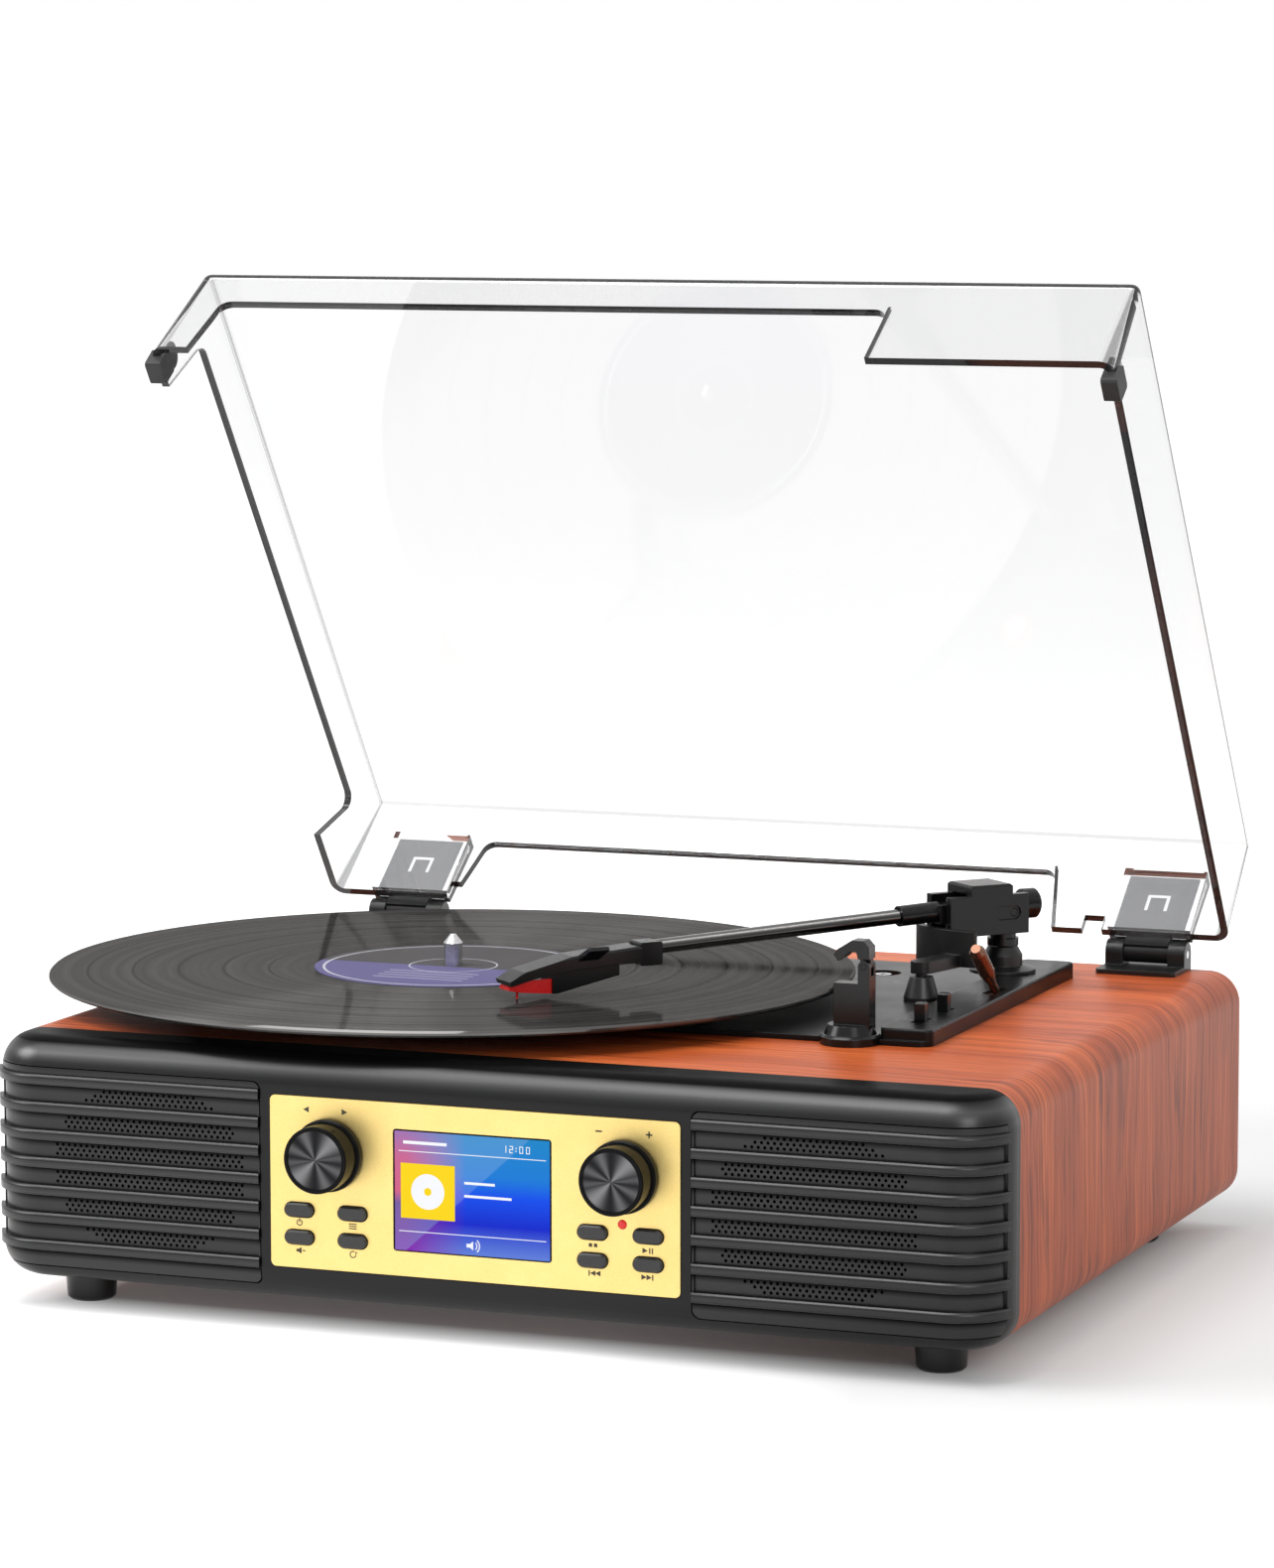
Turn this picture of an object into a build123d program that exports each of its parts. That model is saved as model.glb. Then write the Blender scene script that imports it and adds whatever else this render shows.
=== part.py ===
from build123d import *
import math
import os

os.makedirs("parts", exist_ok=True)

# Cabinet tube, heights counted from the top of the record, spindle at the origin
cabinet_width = 382.0
cabinet_centre_x = 71.3
cabinet_front_y = -125.0
cabinet_depth = 280.0
cabinet_top_z = -10.5
cabinet_height = 88.0
cabinet_corner_radius = 12.0
cabinet_wall = 9.0
batten_size = 12.0
cabinet_back_y = cabinet_front_y + cabinet_depth
cabinet_bottom_z = cabinet_top_z - cabinet_height
cabinet_centre_z = cabinet_top_z - cabinet_height / 2
inner_width = cabinet_width - 2 * cabinet_wall
inner_height = cabinet_height - 2 * cabinet_wall
inner_floor_z = cabinet_bottom_z + cabinet_wall
inner_corner_radius = cabinet_corner_radius - cabinet_wall

# Shared clearances
seat_clearance = 0.2
running_clearance = 0.05
moving_clearance = 0.4

# Feet
foot_height = 10.8
foot_top_radius = 9.5
foot_bottom_radius = 8.7
foot_edge = 1.0
foot_taper = math.degrees(math.atan((foot_top_radius - foot_bottom_radius) / foot_height))
foot_spacing_x = 324.6
foot_front_y = -122.0
foot_rear_y = 114.0

# Front bezel
bezel_depth = 25.0
bezel_corner_radius = 21.0
bezel_wall = 3.0
baffle_thickness = 3.0
bezel_front_y = cabinet_front_y - bezel_depth

# Speaker grilles
grille_top_z = -20.3
grille_height = 72.9
grille_left_inner_x = -9.8
grille_right_inner_x = 152.4
rib_count = 7
rib_first_z = -24.9
rib_pitch = 10.02
rib_thickness = 3.6
rib_height = 1.2
groove_depth = 1.0
groove_margin = 1.0
grille_rim_depth = 10.5
grille_gap = 0.4
grille_corner_radius = 3.0
grille_bottom_z = grille_top_z - grille_height
grille_back_y = cabinet_front_y - grille_rim_depth
rib_middle_z = rib_first_z - rib_pitch * (rib_count - 1) / 2

# Speakers behind the grilles
speaker_margin = 3.0
speaker_flange_width = 4.0
speaker_flange_radius = inner_height / 2 - speaker_margin
speaker_flange_thickness = 3.0
speaker_opening_radius = speaker_flange_radius - speaker_flange_width
speaker_basket_depth = 16.0
speaker_magnet_radius = 20.0
speaker_magnet_depth = 12.0
speaker_offset_x = 129.5
speaker_cone_thickness = 0.8

# Gold control plate
plate_width = 154.4
plate_height = 61.2
plate_centre_x = 71.4
plate_centre_z = -55.2
plate_thickness = 1.5
plate_pocket_depth = 1.2
plate_corner_radius = 2.0
plate_front_y = bezel_front_y + plate_pocket_depth - plate_thickness
bezel_inner_y = bezel_front_y + bezel_wall

# Screen window and module
window_width = 59.4
window_height = 42.9
window_centre_x = 71.2
window_centre_z = -55.4
window_corner_radius = 1.2
module_margin = 2.5

# Control board and its encoders
board_width = 150.0
board_height = 56.0
board_thickness = 1.6
board_gap = 6.0
board_margin = 1.0
board_front_y = bezel_inner_y + board_gap
encoder_size = 12.0
bush_radius = 4.4
bush_length = 3.2

# Knobs
knob_left_x = 17.1
knob_right_x = 128.0
knob_z = -44.6
knob_radius = 12.9
knob_skirt_length = 3.0
knob_cap_radius = 11.9
knob_projection = 13.0
knob_gap = 0.8
knob_face_recess = 0.5
knob_face_radius = 10.4
knob_edge = 0.7
knob_shaft_radius = 3.0
knob_shaft_inset = 1.0

# Push buttons
button_width = 11.0
button_height = 5.0
button_row_high_z = -65.1
button_row_low_z = -74.9
button_column_a_x = 5.35
button_column_b_x = 25.8
button_column_c_x = 116.3
button_column_d_x = 136.9
button_projection = 1.6
button_travel = 0.8
button_flange_margin = 0.9
button_flange_thickness = 1.0
button_stem_radius = 1.5
button_clearance = 0.35
button_edge = 0.5
contact_size = 4.0
contact_height = 1.0

# Power lamp
lamp_x = 127.3
lamp_z = -61.6
lamp_radius = 1.5
lamp_projection = 0.5

# Cabinet tube with the opening for the platter well and two battens for the rear panel
well_radius = 92.0
well_wall = 2.0
rear_panel_thickness = 3.0
rear_panel_inset = 6.0
rear_panel_front_y = cabinet_back_y - rear_panel_inset - rear_panel_thickness
panel_screw_radius = 1.5
panel_screw_length = 8.0
panel_screw_head_radius = 3.0
panel_screw_head_height = 1.6
panel_screw_spacing_z = 36.0
with BuildPart() as cabinet_shell:
    with BuildSketch(Plane.XZ.offset(-cabinet_back_y)):
        with Locations((cabinet_centre_x, cabinet_centre_z)):
            RectangleRounded(cabinet_width, cabinet_height, cabinet_corner_radius)
            RectangleRounded(inner_width, inner_height, inner_corner_radius, mode=Mode.SUBTRACT)
    extrude(amount=cabinet_depth)
    with BuildSketch(Plane.XY.offset(cabinet_top_z)):
        Circle(well_radius + well_wall + moving_clearance)
    extrude(amount=-cabinet_wall, mode=Mode.SUBTRACT)
    with BuildSketch(Plane.XZ.offset(-rear_panel_front_y)):
        with Locations((cabinet_centre_x, cabinet_centre_z)):
            with GridLocations(inner_width - batten_size, 0, 2, 1):
                Rectangle(batten_size + 2 * seat_clearance, inner_height - 2 * inner_corner_radius)
    extrude(amount=batten_size)
    with BuildSketch(Plane.XZ.offset(-rear_panel_front_y)):
        with Locations((cabinet_centre_x, cabinet_centre_z)):
            with GridLocations(inner_width - batten_size, panel_screw_spacing_z, 2, 2):
                Circle(panel_screw_radius + running_clearance)
    extrude(amount=panel_screw_length, mode=Mode.SUBTRACT)
cabinet_shell.part.label = "cabinet_shell"
export_step(cabinet_shell.part, "parts/cabinet_shell.step")

# Four feet under the cabinet floor
with BuildPart() as feet:
    with BuildSketch(Plane.XY.offset(cabinet_bottom_z)):
        with Locations((cabinet_centre_x, (foot_front_y + foot_rear_y) / 2)):
            with GridLocations(foot_spacing_x, foot_rear_y - foot_front_y, 2, 2):
                Circle(foot_top_radius)
    extrude(amount=-foot_height, taper=foot_taper)
    chamfer(feet.faces().filter_by(Plane.XY).group_by(Axis.Z)[0].edges(), foot_edge)
feet.part.label = "feet"
export_step(feet.part, "parts/feet.step")

# Nested skins of the bezel: hollow, groove floor, outer face and rib crest
bezel_skins = {}
for skin_name, skin_outset in (
    ("cavity", -bezel_wall),
    ("groove", -groove_depth),
    ("outer", 0.0),
    ("crest", rib_height),
):
    with BuildPart() as skin:
        with BuildSketch(Plane.XY.offset(cabinet_bottom_z - skin_outset)) as skin_plan:
            with Locations((cabinet_centre_x, (cabinet_front_y + bezel_front_y - skin_outset) / 2)):
                Rectangle(cabinet_width + 2 * skin_outset, bezel_depth + skin_outset)
            fillet(skin_plan.vertices().group_by(Axis.Y)[0], bezel_corner_radius + skin_outset)
        extrude(amount=cabinet_height + 2 * skin_outset)
        skin_ends = skin.faces().filter_by(Plane.XY).edges()
        rounded_edges = [edge for edge in skin_ends if edge.center().Y < cabinet_front_y - seat_clearance]
        fillet(rounded_edges, cabinet_corner_radius + skin_outset)
    bezel_skins[skin_name] = skin.part
with BuildPart() as rib_bars:
    add(bezel_skins["crest"])
    with BuildSketch(Plane.XZ.offset(-cabinet_front_y)):
        with Locations((cabinet_centre_x, rib_middle_z)):
            with GridLocations(0, rib_pitch, 1, rib_count):
                Rectangle(cabinet_width + 4 * rib_height, rib_thickness)
    extrude(amount=bezel_depth + 2 * rib_height, mode=Mode.INTERSECT)

# Bezel frame with baffle, grille openings, plate pocket and control openings
grille_left_outer_x = cabinet_centre_x - cabinet_width / 2 - 2 * rib_height
grille_right_outer_x = cabinet_centre_x + cabinet_width / 2 + 2 * rib_height
grille_centre_z = (grille_top_z + grille_bottom_z) / 2
grille_left_width = grille_left_inner_x - grille_left_outer_x
grille_right_width = grille_right_outer_x - grille_right_inner_x
grille_left_x = (grille_left_inner_x + grille_left_outer_x) / 2
grille_right_x = (grille_right_inner_x + grille_right_outer_x) / 2
button_spots = [
    (button_column_a_x, button_row_high_z),
    (button_column_b_x, button_row_high_z),
    (button_column_a_x, button_row_low_z),
    (button_column_b_x, button_row_low_z),
    (button_column_c_x, button_row_high_z),
    (button_column_d_x, button_row_high_z),
    (button_column_c_x, button_row_low_z),
    (button_column_d_x, button_row_low_z),
]
knob_spots = [(knob_left_x, knob_z), (knob_right_x, knob_z)]
speaker_spots = [
    (cabinet_centre_x - speaker_offset_x, cabinet_centre_z),
    (cabinet_centre_x + speaker_offset_x, cabinet_centre_z),
]
with BuildPart() as front_bezel:
    add(bezel_skins["outer"])
    add(bezel_skins["cavity"], mode=Mode.SUBTRACT)
    with BuildSketch(Plane.XZ.offset(-cabinet_front_y)):
        with Locations((cabinet_centre_x, cabinet_centre_z)):
            RectangleRounded(
                cabinet_width - 2 * bezel_wall,
                cabinet_height - 2 * bezel_wall,
                cabinet_corner_radius - bezel_wall,
            )
        with Locations(*speaker_spots):
            Circle(speaker_opening_radius, mode=Mode.SUBTRACT)
        with Locations((plate_centre_x, plate_centre_z)):
            Rectangle(board_width + 2 * board_margin, board_height + 2 * board_margin, mode=Mode.SUBTRACT)
    extrude(amount=baffle_thickness)
    with BuildSketch(Plane.XZ.offset(-grille_back_y)):
        with Locations((grille_left_x, grille_centre_z)):
            RectangleRounded(grille_left_width, grille_height, grille_corner_radius)
        with Locations((grille_right_x, grille_centre_z)):
            RectangleRounded(grille_right_width, grille_height, grille_corner_radius)
    extrude(amount=bezel_depth, mode=Mode.SUBTRACT)
    with BuildSketch(Plane.XZ.offset(-bezel_front_y)):
        with Locations((plate_centre_x, plate_centre_z)):
            RectangleRounded(
                plate_width + 2 * seat_clearance, plate_height + 2 * seat_clearance, plate_corner_radius
            )
    extrude(amount=-plate_pocket_depth, mode=Mode.SUBTRACT)
    with BuildSketch(Plane.XZ.offset(-bezel_front_y)):
        with Locations((window_centre_x, window_centre_z)):
            RectangleRounded(
                window_width + 2 * seat_clearance, window_height + 2 * seat_clearance, window_corner_radius
            )
        with Locations(*knob_spots):
            Circle(bush_radius + seat_clearance)
        with Locations(*button_spots):
            SlotOverall(button_width + 2 * button_clearance, button_height + 2 * button_clearance)
        with Locations((lamp_x, lamp_z)):
            Circle(lamp_radius + seat_clearance)
    extrude(amount=-bezel_wall, mode=Mode.SUBTRACT)
front_bezel.part.label = "front_bezel"
export_step(front_bezel.part, "parts/front_bezel.step")

# Grille panels that wrap the rounded front corners, with ribs and sunk grooves
for grille_name, grille_x, grille_width in (
    ("grille_left", grille_left_x, grille_left_width),
    ("grille_right", grille_right_x, grille_right_width),
):
    with BuildPart() as grille:
        add(bezel_skins["outer"])
        with BuildSketch(Plane.XZ.offset(-grille_back_y)):
            with Locations((grille_x, rib_middle_z)):
                with GridLocations(0, rib_pitch, 1, rib_count - 1):
                    Rectangle(grille_width - 2 * groove_margin, rib_pitch - rib_thickness)
        extrude(amount=bezel_depth, mode=Mode.SUBTRACT)
        add(bezel_skins["groove"])
        add(rib_bars.part)
        add(bezel_skins["cavity"], mode=Mode.SUBTRACT)
        with BuildSketch(Plane.XZ.offset(-grille_back_y)):
            with Locations((grille_x, grille_centre_z)):
                RectangleRounded(
                    grille_width - 2 * grille_gap, grille_height - 2 * grille_gap, grille_corner_radius
                )
        extrude(amount=bezel_depth, mode=Mode.INTERSECT)
    grille.part.label = grille_name
    export_step(grille.part, f"parts/{grille_name}.step")

# Gold plate set into the bezel pocket
with BuildPart() as control_plate:
    with BuildSketch(Plane.XZ.offset(-plate_front_y)):
        with Locations((plate_centre_x, plate_centre_z)):
            RectangleRounded(plate_width, plate_height, plate_corner_radius)
        with Locations((window_centre_x, window_centre_z)):
            RectangleRounded(
                window_width + 2 * seat_clearance,
                window_height + 2 * seat_clearance,
                window_corner_radius,
                mode=Mode.SUBTRACT,
            )
        with Locations(*knob_spots):
            Circle(bush_radius + seat_clearance, mode=Mode.SUBTRACT)
        with Locations(*button_spots):
            SlotOverall(
                button_width + 2 * button_clearance, button_height + 2 * button_clearance, mode=Mode.SUBTRACT
            )
        with Locations((lamp_x, lamp_z)):
            Circle(lamp_radius + seat_clearance, mode=Mode.SUBTRACT)
    extrude(amount=-plate_thickness)
control_plate.part.label = "control_plate"
export_step(control_plate.part, "parts/control_plate.step")

# Screen window and the module behind it
with BuildPart() as display_window:
    with BuildSketch(Plane.XZ.offset(-plate_front_y)):
        with Locations((window_centre_x, window_centre_z)):
            RectangleRounded(window_width, window_height, window_corner_radius)
    extrude(amount=plate_front_y - bezel_inner_y)
display_window.part.label = "display_window"
export_step(display_window.part, "parts/display_window.step")
with BuildPart() as display_panel:
    with BuildSketch(Plane.XZ.offset(-bezel_inner_y)):
        with Locations((window_centre_x, window_centre_z)):
            Rectangle(window_width + 2 * module_margin, window_height + 2 * module_margin)
    extrude(amount=-board_gap)
display_panel.part.label = "display_panel"
export_step(display_panel.part, "parts/display_panel.step")

# Control board with one contact behind each button
with BuildPart() as control_board:
    with BuildSketch(Plane.XZ.offset(-board_front_y)):
        with Locations((plate_centre_x, plate_centre_z)):
            Rectangle(board_width, board_height)
    extrude(amount=-board_thickness)
    with BuildSketch(Plane.XZ.offset(-board_front_y)):
        with Locations(*button_spots):
            Rectangle(contact_size, contact_size)
    extrude(amount=contact_height)
control_board.part.label = "control_board"
export_step(control_board.part, "parts/control_board.step")

# Rotary encoders between bezel and board
with BuildPart() as encoders:
    with BuildSketch(Plane.XZ.offset(-bezel_inner_y)):
        with Locations(*knob_spots):
            Rectangle(encoder_size, encoder_size)
    extrude(amount=-board_gap)
    with BuildSketch(Plane.XZ.offset(-bezel_inner_y)):
        with Locations(*knob_spots):
            Circle(bush_radius)
    extrude(amount=bush_length)
    with BuildSketch(Plane.XZ.offset(-bezel_inner_y + bush_length)):
        with Locations(*knob_spots):
            Circle(knob_shaft_radius + running_clearance)
    extrude(amount=-(bush_length + board_gap - knob_shaft_inset), mode=Mode.SUBTRACT)
encoders.part.label = "encoders"
export_step(encoders.part, "parts/encoders.step")

# Stepped knobs with their shafts
knob_back_y = plate_front_y - knob_gap
knob_front_y = plate_front_y - knob_projection
knob_shaft_length = board_front_y - knob_shaft_inset - moving_clearance - knob_back_y
for knob_name, knob_spot in (("tune_knob", knob_spots[0]), ("volume_knob", knob_spots[1])):
    with BuildPart() as knob:
        with BuildSketch(Plane.XZ.offset(-knob_back_y)):
            with Locations(knob_spot):
                Circle(knob_radius)
        extrude(amount=knob_skirt_length)
        chamfer(knob.faces().sort_by(Axis.Y)[0].edges(), knob_edge)
        with BuildSketch(Plane.XZ.offset(-knob_back_y)):
            with Locations(knob_spot):
                Circle(knob_cap_radius)
        extrude(amount=knob_back_y - knob_front_y)
        fillet(knob.faces().sort_by(Axis.Y)[0].edges(), knob_edge)
        with BuildSketch(Plane.XZ.offset(-knob_front_y)):
            with Locations(knob_spot):
                Circle(knob_face_radius)
        extrude(amount=-knob_face_recess, mode=Mode.SUBTRACT)
        with BuildSketch(Plane.XZ.offset(-knob_back_y)):
            with Locations(knob_spot):
                Circle(knob_shaft_radius)
        extrude(amount=-knob_shaft_length)
    knob.part.label = knob_name
    export_step(knob.part, f"parts/{knob_name}.step")

# Push buttons, each with a retaining flange and a stem towards its contact
button_names = [
    "button_standby",
    "button_menu",
    "button_mute",
    "button_repeat",
    "button_mode",
    "button_play",
    "button_previous",
    "button_next",
]
button_front_y = plate_front_y - button_projection
button_flange_y = bezel_inner_y + running_clearance
button_stem_length = board_front_y - contact_height - button_travel - running_clearance - button_flange_y
for button_name, button_spot in zip(button_names, button_spots):
    with BuildPart() as button:
        with BuildSketch(Plane.XZ.offset(-button_front_y)):
            with Locations(button_spot):
                SlotOverall(button_width, button_height)
        extrude(amount=button_front_y - button_flange_y)
        chamfer(button.faces().sort_by(Axis.Y)[0].edges(), button_edge)
        with BuildSketch(Plane.XZ.offset(-button_flange_y)):
            with Locations(button_spot):
                SlotOverall(button_width + 2 * button_flange_margin, button_height + 2 * button_flange_margin)
        extrude(amount=-button_flange_thickness)
        with BuildSketch(Plane.XZ.offset(-button_flange_y)):
            with Locations(button_spot):
                Circle(button_stem_radius)
        extrude(amount=-button_stem_length)
    button.part.label = button_name
    export_step(button.part, f"parts/{button_name}.step")

# Power lamp
with BuildPart() as power_led:
    with BuildSketch(Plane.XZ.offset(-plate_front_y + lamp_projection)):
        with Locations((lamp_x, lamp_z)):
            Circle(lamp_radius)
    extrude(amount=plate_front_y - lamp_projection - board_front_y)
    fillet(power_led.faces().sort_by(Axis.Y)[0].edges(), lamp_projection)
power_led.part.label = "power_led"
export_step(power_led.part, "parts/power_led.step")

# Speakers on the back of the baffle
basket_wall = 1.5
basket_taper = 31.0
cone_taper = 52.0
cone_depth = 13.0
speaker_depth = speaker_flange_thickness + speaker_basket_depth
with BuildPart() as speakers:
    with BuildSketch(Plane.XZ.offset(-cabinet_front_y)):
        with Locations(*speaker_spots):
            Circle(speaker_opening_radius + basket_wall)
    extrude(amount=-speaker_depth, taper=basket_taper)
    with BuildSketch(Plane.XZ.offset(-cabinet_front_y)):
        with Locations(*speaker_spots):
            Circle(speaker_flange_radius)
    extrude(amount=-speaker_flange_thickness)
    with BuildSketch(Plane.XZ.offset(-cabinet_front_y)):
        with Locations(*speaker_spots):
            Circle(speaker_opening_radius)
    extrude(amount=-(speaker_depth - basket_wall), taper=basket_taper, mode=Mode.SUBTRACT)
    with BuildSketch(Plane.XZ.offset(-cabinet_front_y - speaker_depth)):
        with Locations(*speaker_spots):
            Circle(speaker_magnet_radius)
    extrude(amount=-speaker_magnet_depth)
speakers.part.label = "speakers"
export_step(speakers.part, "parts/speakers.step")
with BuildPart() as speaker_cones:
    with BuildSketch(Plane.XZ.offset(-cabinet_front_y)):
        with Locations(*speaker_spots):
            Circle(speaker_opening_radius - running_clearance)
    extrude(amount=-cone_depth, taper=cone_taper)
    with BuildSketch(Plane.XZ.offset(-cabinet_front_y)):
        with Locations(*speaker_spots):
            Circle(speaker_opening_radius - running_clearance - 2 * speaker_cone_thickness)
    extrude(amount=-(cone_depth - speaker_cone_thickness), taper=cone_taper, mode=Mode.SUBTRACT)
speaker_cones.part.label = "speaker_cones"
export_step(speaker_cones.part, "parts/speaker_cones.step")

# Deck plate, console and platter drive
deck_thickness = 2.0
deck_circle_radius = 105.0
deck_right_x = 206.5
deck_front_y = -55.0
deck_back_y = 121.0
deck_corner_radius = 6.0
well_depth = 14.0
console_left_x = 186.0
console_front_y = -53.0
console_height = 6.0
console_corner_radius = 3.0
console_edge = 1.0
deck_top_z = cabinet_top_z + deck_thickness
console_top_z = cabinet_top_z + console_height
well_floor_z = deck_top_z - well_depth
deck_screw_x = 139.0
deck_screw_y = 92.0
deck_recess_radius = 7.0
deck_screw_radius = 3.2
deck_screw_height = 1.6
screw_slot_width = 0.9
screw_slot_length = 3.8
screw_slot_depth = 0.6

# Arm rest place
rest_x = 176.5
rest_y = -54.0
rest_disc_radius = 11.0

# Slide switches
switch_size = 4.0
switch_height = 6.5
switch_flange = 6.4
switch_flange_thickness = 1.0
speed_switch_x = 196.0
speed_switch_y = -33.0
speed_switch_travel = 4.0
autostop_switch_x = 197.0
autostop_switch_y = -10.0
autostop_switch_travel = 5.0

# Cue lever place
lever_x = 200.0
lever_y = 45.0
lever_pivot_z = -7.0
lever_slot_width = 5.2
lever_slot_front = 12.0
lever_slot_back = 5.0
lever_pin_radius = 1.0
lever_pin_length = 9.0

# Bearing and motor
spindle_radius = 3.55
bearing_radius = 7.0
bearing_flange_radius = 14.0
bearing_flange_thickness = 3.0
bearing_top_z = -12.6
bearing_bottom_z = -41.0
bearing_floor = 2.0
motor_x = -53.7
motor_y = 53.7
motor_radius = 16.0
motor_length = 22.0
motor_shaft_radius = 1.0
motor_shaft_opening = 3.0
with BuildPart() as deck_plate:
    with BuildSketch(Plane.XY.offset(cabinet_top_z)):
        Circle(deck_circle_radius)
        with Locations((deck_right_x / 2, (deck_front_y + deck_back_y) / 2)):
            RectangleRounded(deck_right_x, deck_back_y - deck_front_y, deck_corner_radius)
    extrude(amount=deck_thickness)
    with BuildSketch(Plane.XY.offset(cabinet_top_z)):
        with Locations(((console_left_x + deck_right_x) / 2, (console_front_y + deck_back_y) / 2)):
            RectangleRounded(
                deck_right_x - console_left_x, deck_back_y - console_front_y, console_corner_radius
            )
    extrude(amount=console_height)
    fillet(deck_plate.faces().filter_by(Plane.XY).sort_by(Axis.Z)[-1].edges(), console_edge)
    with BuildSketch(Plane.XY.offset(deck_top_z)):
        Circle(well_radius + well_wall)
    extrude(amount=-(well_depth + well_wall))
    with BuildSketch(Plane.XY.offset(deck_top_z)):
        Circle(well_radius)
    extrude(amount=-well_depth, mode=Mode.SUBTRACT)
    with BuildSketch(Plane.XY.offset(well_floor_z)):
        Circle(bearing_radius + seat_clearance)
        with Locations((motor_x, motor_y)):
            Circle(motor_shaft_opening)
    extrude(amount=-well_wall, mode=Mode.SUBTRACT)
    with BuildSketch(Plane.XY.offset(console_top_z)):
        with Locations((deck_screw_x, deck_screw_y)):
            Circle(deck_recess_radius)
        with Locations((rest_x, rest_y)):
            Circle(rest_disc_radius + seat_clearance)
        with Locations((speed_switch_x, speed_switch_y)):
            Rectangle(
                switch_size + moving_clearance, switch_size + 2 * speed_switch_travel + moving_clearance
            )
        with Locations((autostop_switch_x, autostop_switch_y + autostop_switch_travel / 2)):
            Rectangle(switch_size + moving_clearance, switch_size + autostop_switch_travel + moving_clearance)
        with Locations((lever_x, lever_y + (lever_slot_back - lever_slot_front) / 2)):
            Rectangle(lever_slot_width, lever_slot_front + lever_slot_back)
    extrude(amount=-console_height, mode=Mode.SUBTRACT)
    with BuildSketch(Plane.XY.offset(cabinet_top_z)):
        with Locations((speed_switch_x, speed_switch_y)):
            Rectangle(
                switch_flange + moving_clearance, switch_flange + 2 * speed_switch_travel + moving_clearance
            )
        with Locations((autostop_switch_x, autostop_switch_y + autostop_switch_travel / 2)):
            Rectangle(
                switch_flange + moving_clearance, switch_flange + autostop_switch_travel + moving_clearance
            )
    extrude(amount=switch_flange_thickness + moving_clearance, mode=Mode.SUBTRACT)
    with BuildSketch(Plane.YZ.offset(lever_x - lever_pin_length / 2)):
        with Locations((lever_y, lever_pivot_z)):
            Circle(lever_pin_radius + running_clearance)
    extrude(amount=lever_pin_length, mode=Mode.SUBTRACT)
deck_plate.part.label = "deck_plate"
export_step(deck_plate.part, "parts/deck_plate.step")
with BuildPart() as deck_screw:
    with BuildSketch(Plane.XY.offset(cabinet_top_z)):
        with Locations((deck_screw_x, deck_screw_y)):
            Circle(deck_screw_radius)
    extrude(amount=deck_screw_height)
    with BuildSketch(Plane.XY.offset(cabinet_top_z + deck_screw_height)):
        with Locations((deck_screw_x, deck_screw_y)):
            Rectangle(screw_slot_length, screw_slot_width)
            Rectangle(screw_slot_width, screw_slot_length)
    extrude(amount=-screw_slot_depth, mode=Mode.SUBTRACT)
deck_screw.part.label = "deck_screw"
export_step(deck_screw.part, "parts/deck_screw.step")

# Slide switches
for switch_name, switch_x, switch_y in (
    ("speed_switch", speed_switch_x, speed_switch_y),
    ("autostop_switch", autostop_switch_x, autostop_switch_y),
):
    with BuildPart() as switch:
        with BuildSketch(Plane.XY.offset(cabinet_top_z + moving_clearance / 2)):
            with Locations((switch_x, switch_y)):
                Rectangle(switch_flange, switch_flange)
        extrude(amount=switch_flange_thickness)
        with BuildSketch(Plane.XY.offset(cabinet_top_z + moving_clearance / 2)):
            with Locations((switch_x, switch_y)):
                Rectangle(switch_size, switch_size)
        extrude(amount=console_height + switch_height)
        chamfer(switch.faces().sort_by(Axis.Z)[-1].edges(), button_edge)
    switch.part.label = switch_name
    export_step(switch.part, f"parts/{switch_name}.step")

# Platter, mat, spindle, record and label
platter_radius = 98.0
platter_top_z = -4.6
platter_thickness = 3.0
platter_ring_radius = 60.0
platter_ring_wall = 4.0
platter_ring_depth = 12.0
platter_hub_radius = 12.0
platter_hub_depth = 4.6
platter_edge = 0.8
mat_radius = 97.0
record_thickness = 2.4
record_radius = 151.0
record_bevel = 0.8
label_radius = 52.0
label_thickness = 0.2
spindle_top_z = 11.85
spindle_relief_radius = 3.1
spindle_relief_height = 0.6
spindle_neck_top_z = 8.6
spindle_tip_radius = 1.1
hole_radius = spindle_radius + running_clearance
platter_bottom_z = platter_top_z - platter_thickness
spindle_bottom_z = bearing_bottom_z + bearing_floor + running_clearance
with BuildPart() as platter:
    with BuildSketch(Plane.XY.offset(platter_bottom_z)):
        Circle(platter_radius)
    extrude(amount=platter_thickness)
    chamfer(platter.edges(), platter_edge)
    with BuildSketch(Plane.XY.offset(platter_bottom_z)):
        Circle(platter_ring_radius)
        Circle(platter_ring_radius - platter_ring_wall, mode=Mode.SUBTRACT)
    extrude(amount=-platter_ring_depth)
    with BuildSketch(Plane.XY.offset(platter_bottom_z)):
        Circle(platter_hub_radius)
    extrude(amount=-platter_hub_depth)
    with BuildSketch(Plane.XY.offset(platter_top_z)):
        Circle(hole_radius)
    extrude(amount=-(platter_thickness + platter_hub_depth), mode=Mode.SUBTRACT)
platter.part.label = "platter"
export_step(platter.part, "parts/platter.step")
with BuildPart() as slip_mat:
    with BuildSketch(Plane.XY.offset(platter_top_z)):
        Circle(mat_radius)
        Circle(hole_radius, mode=Mode.SUBTRACT)
    extrude(amount=-platter_top_z - record_thickness - label_thickness)
slip_mat.part.label = "slip_mat"
export_step(slip_mat.part, "parts/slip_mat.step")
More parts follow.
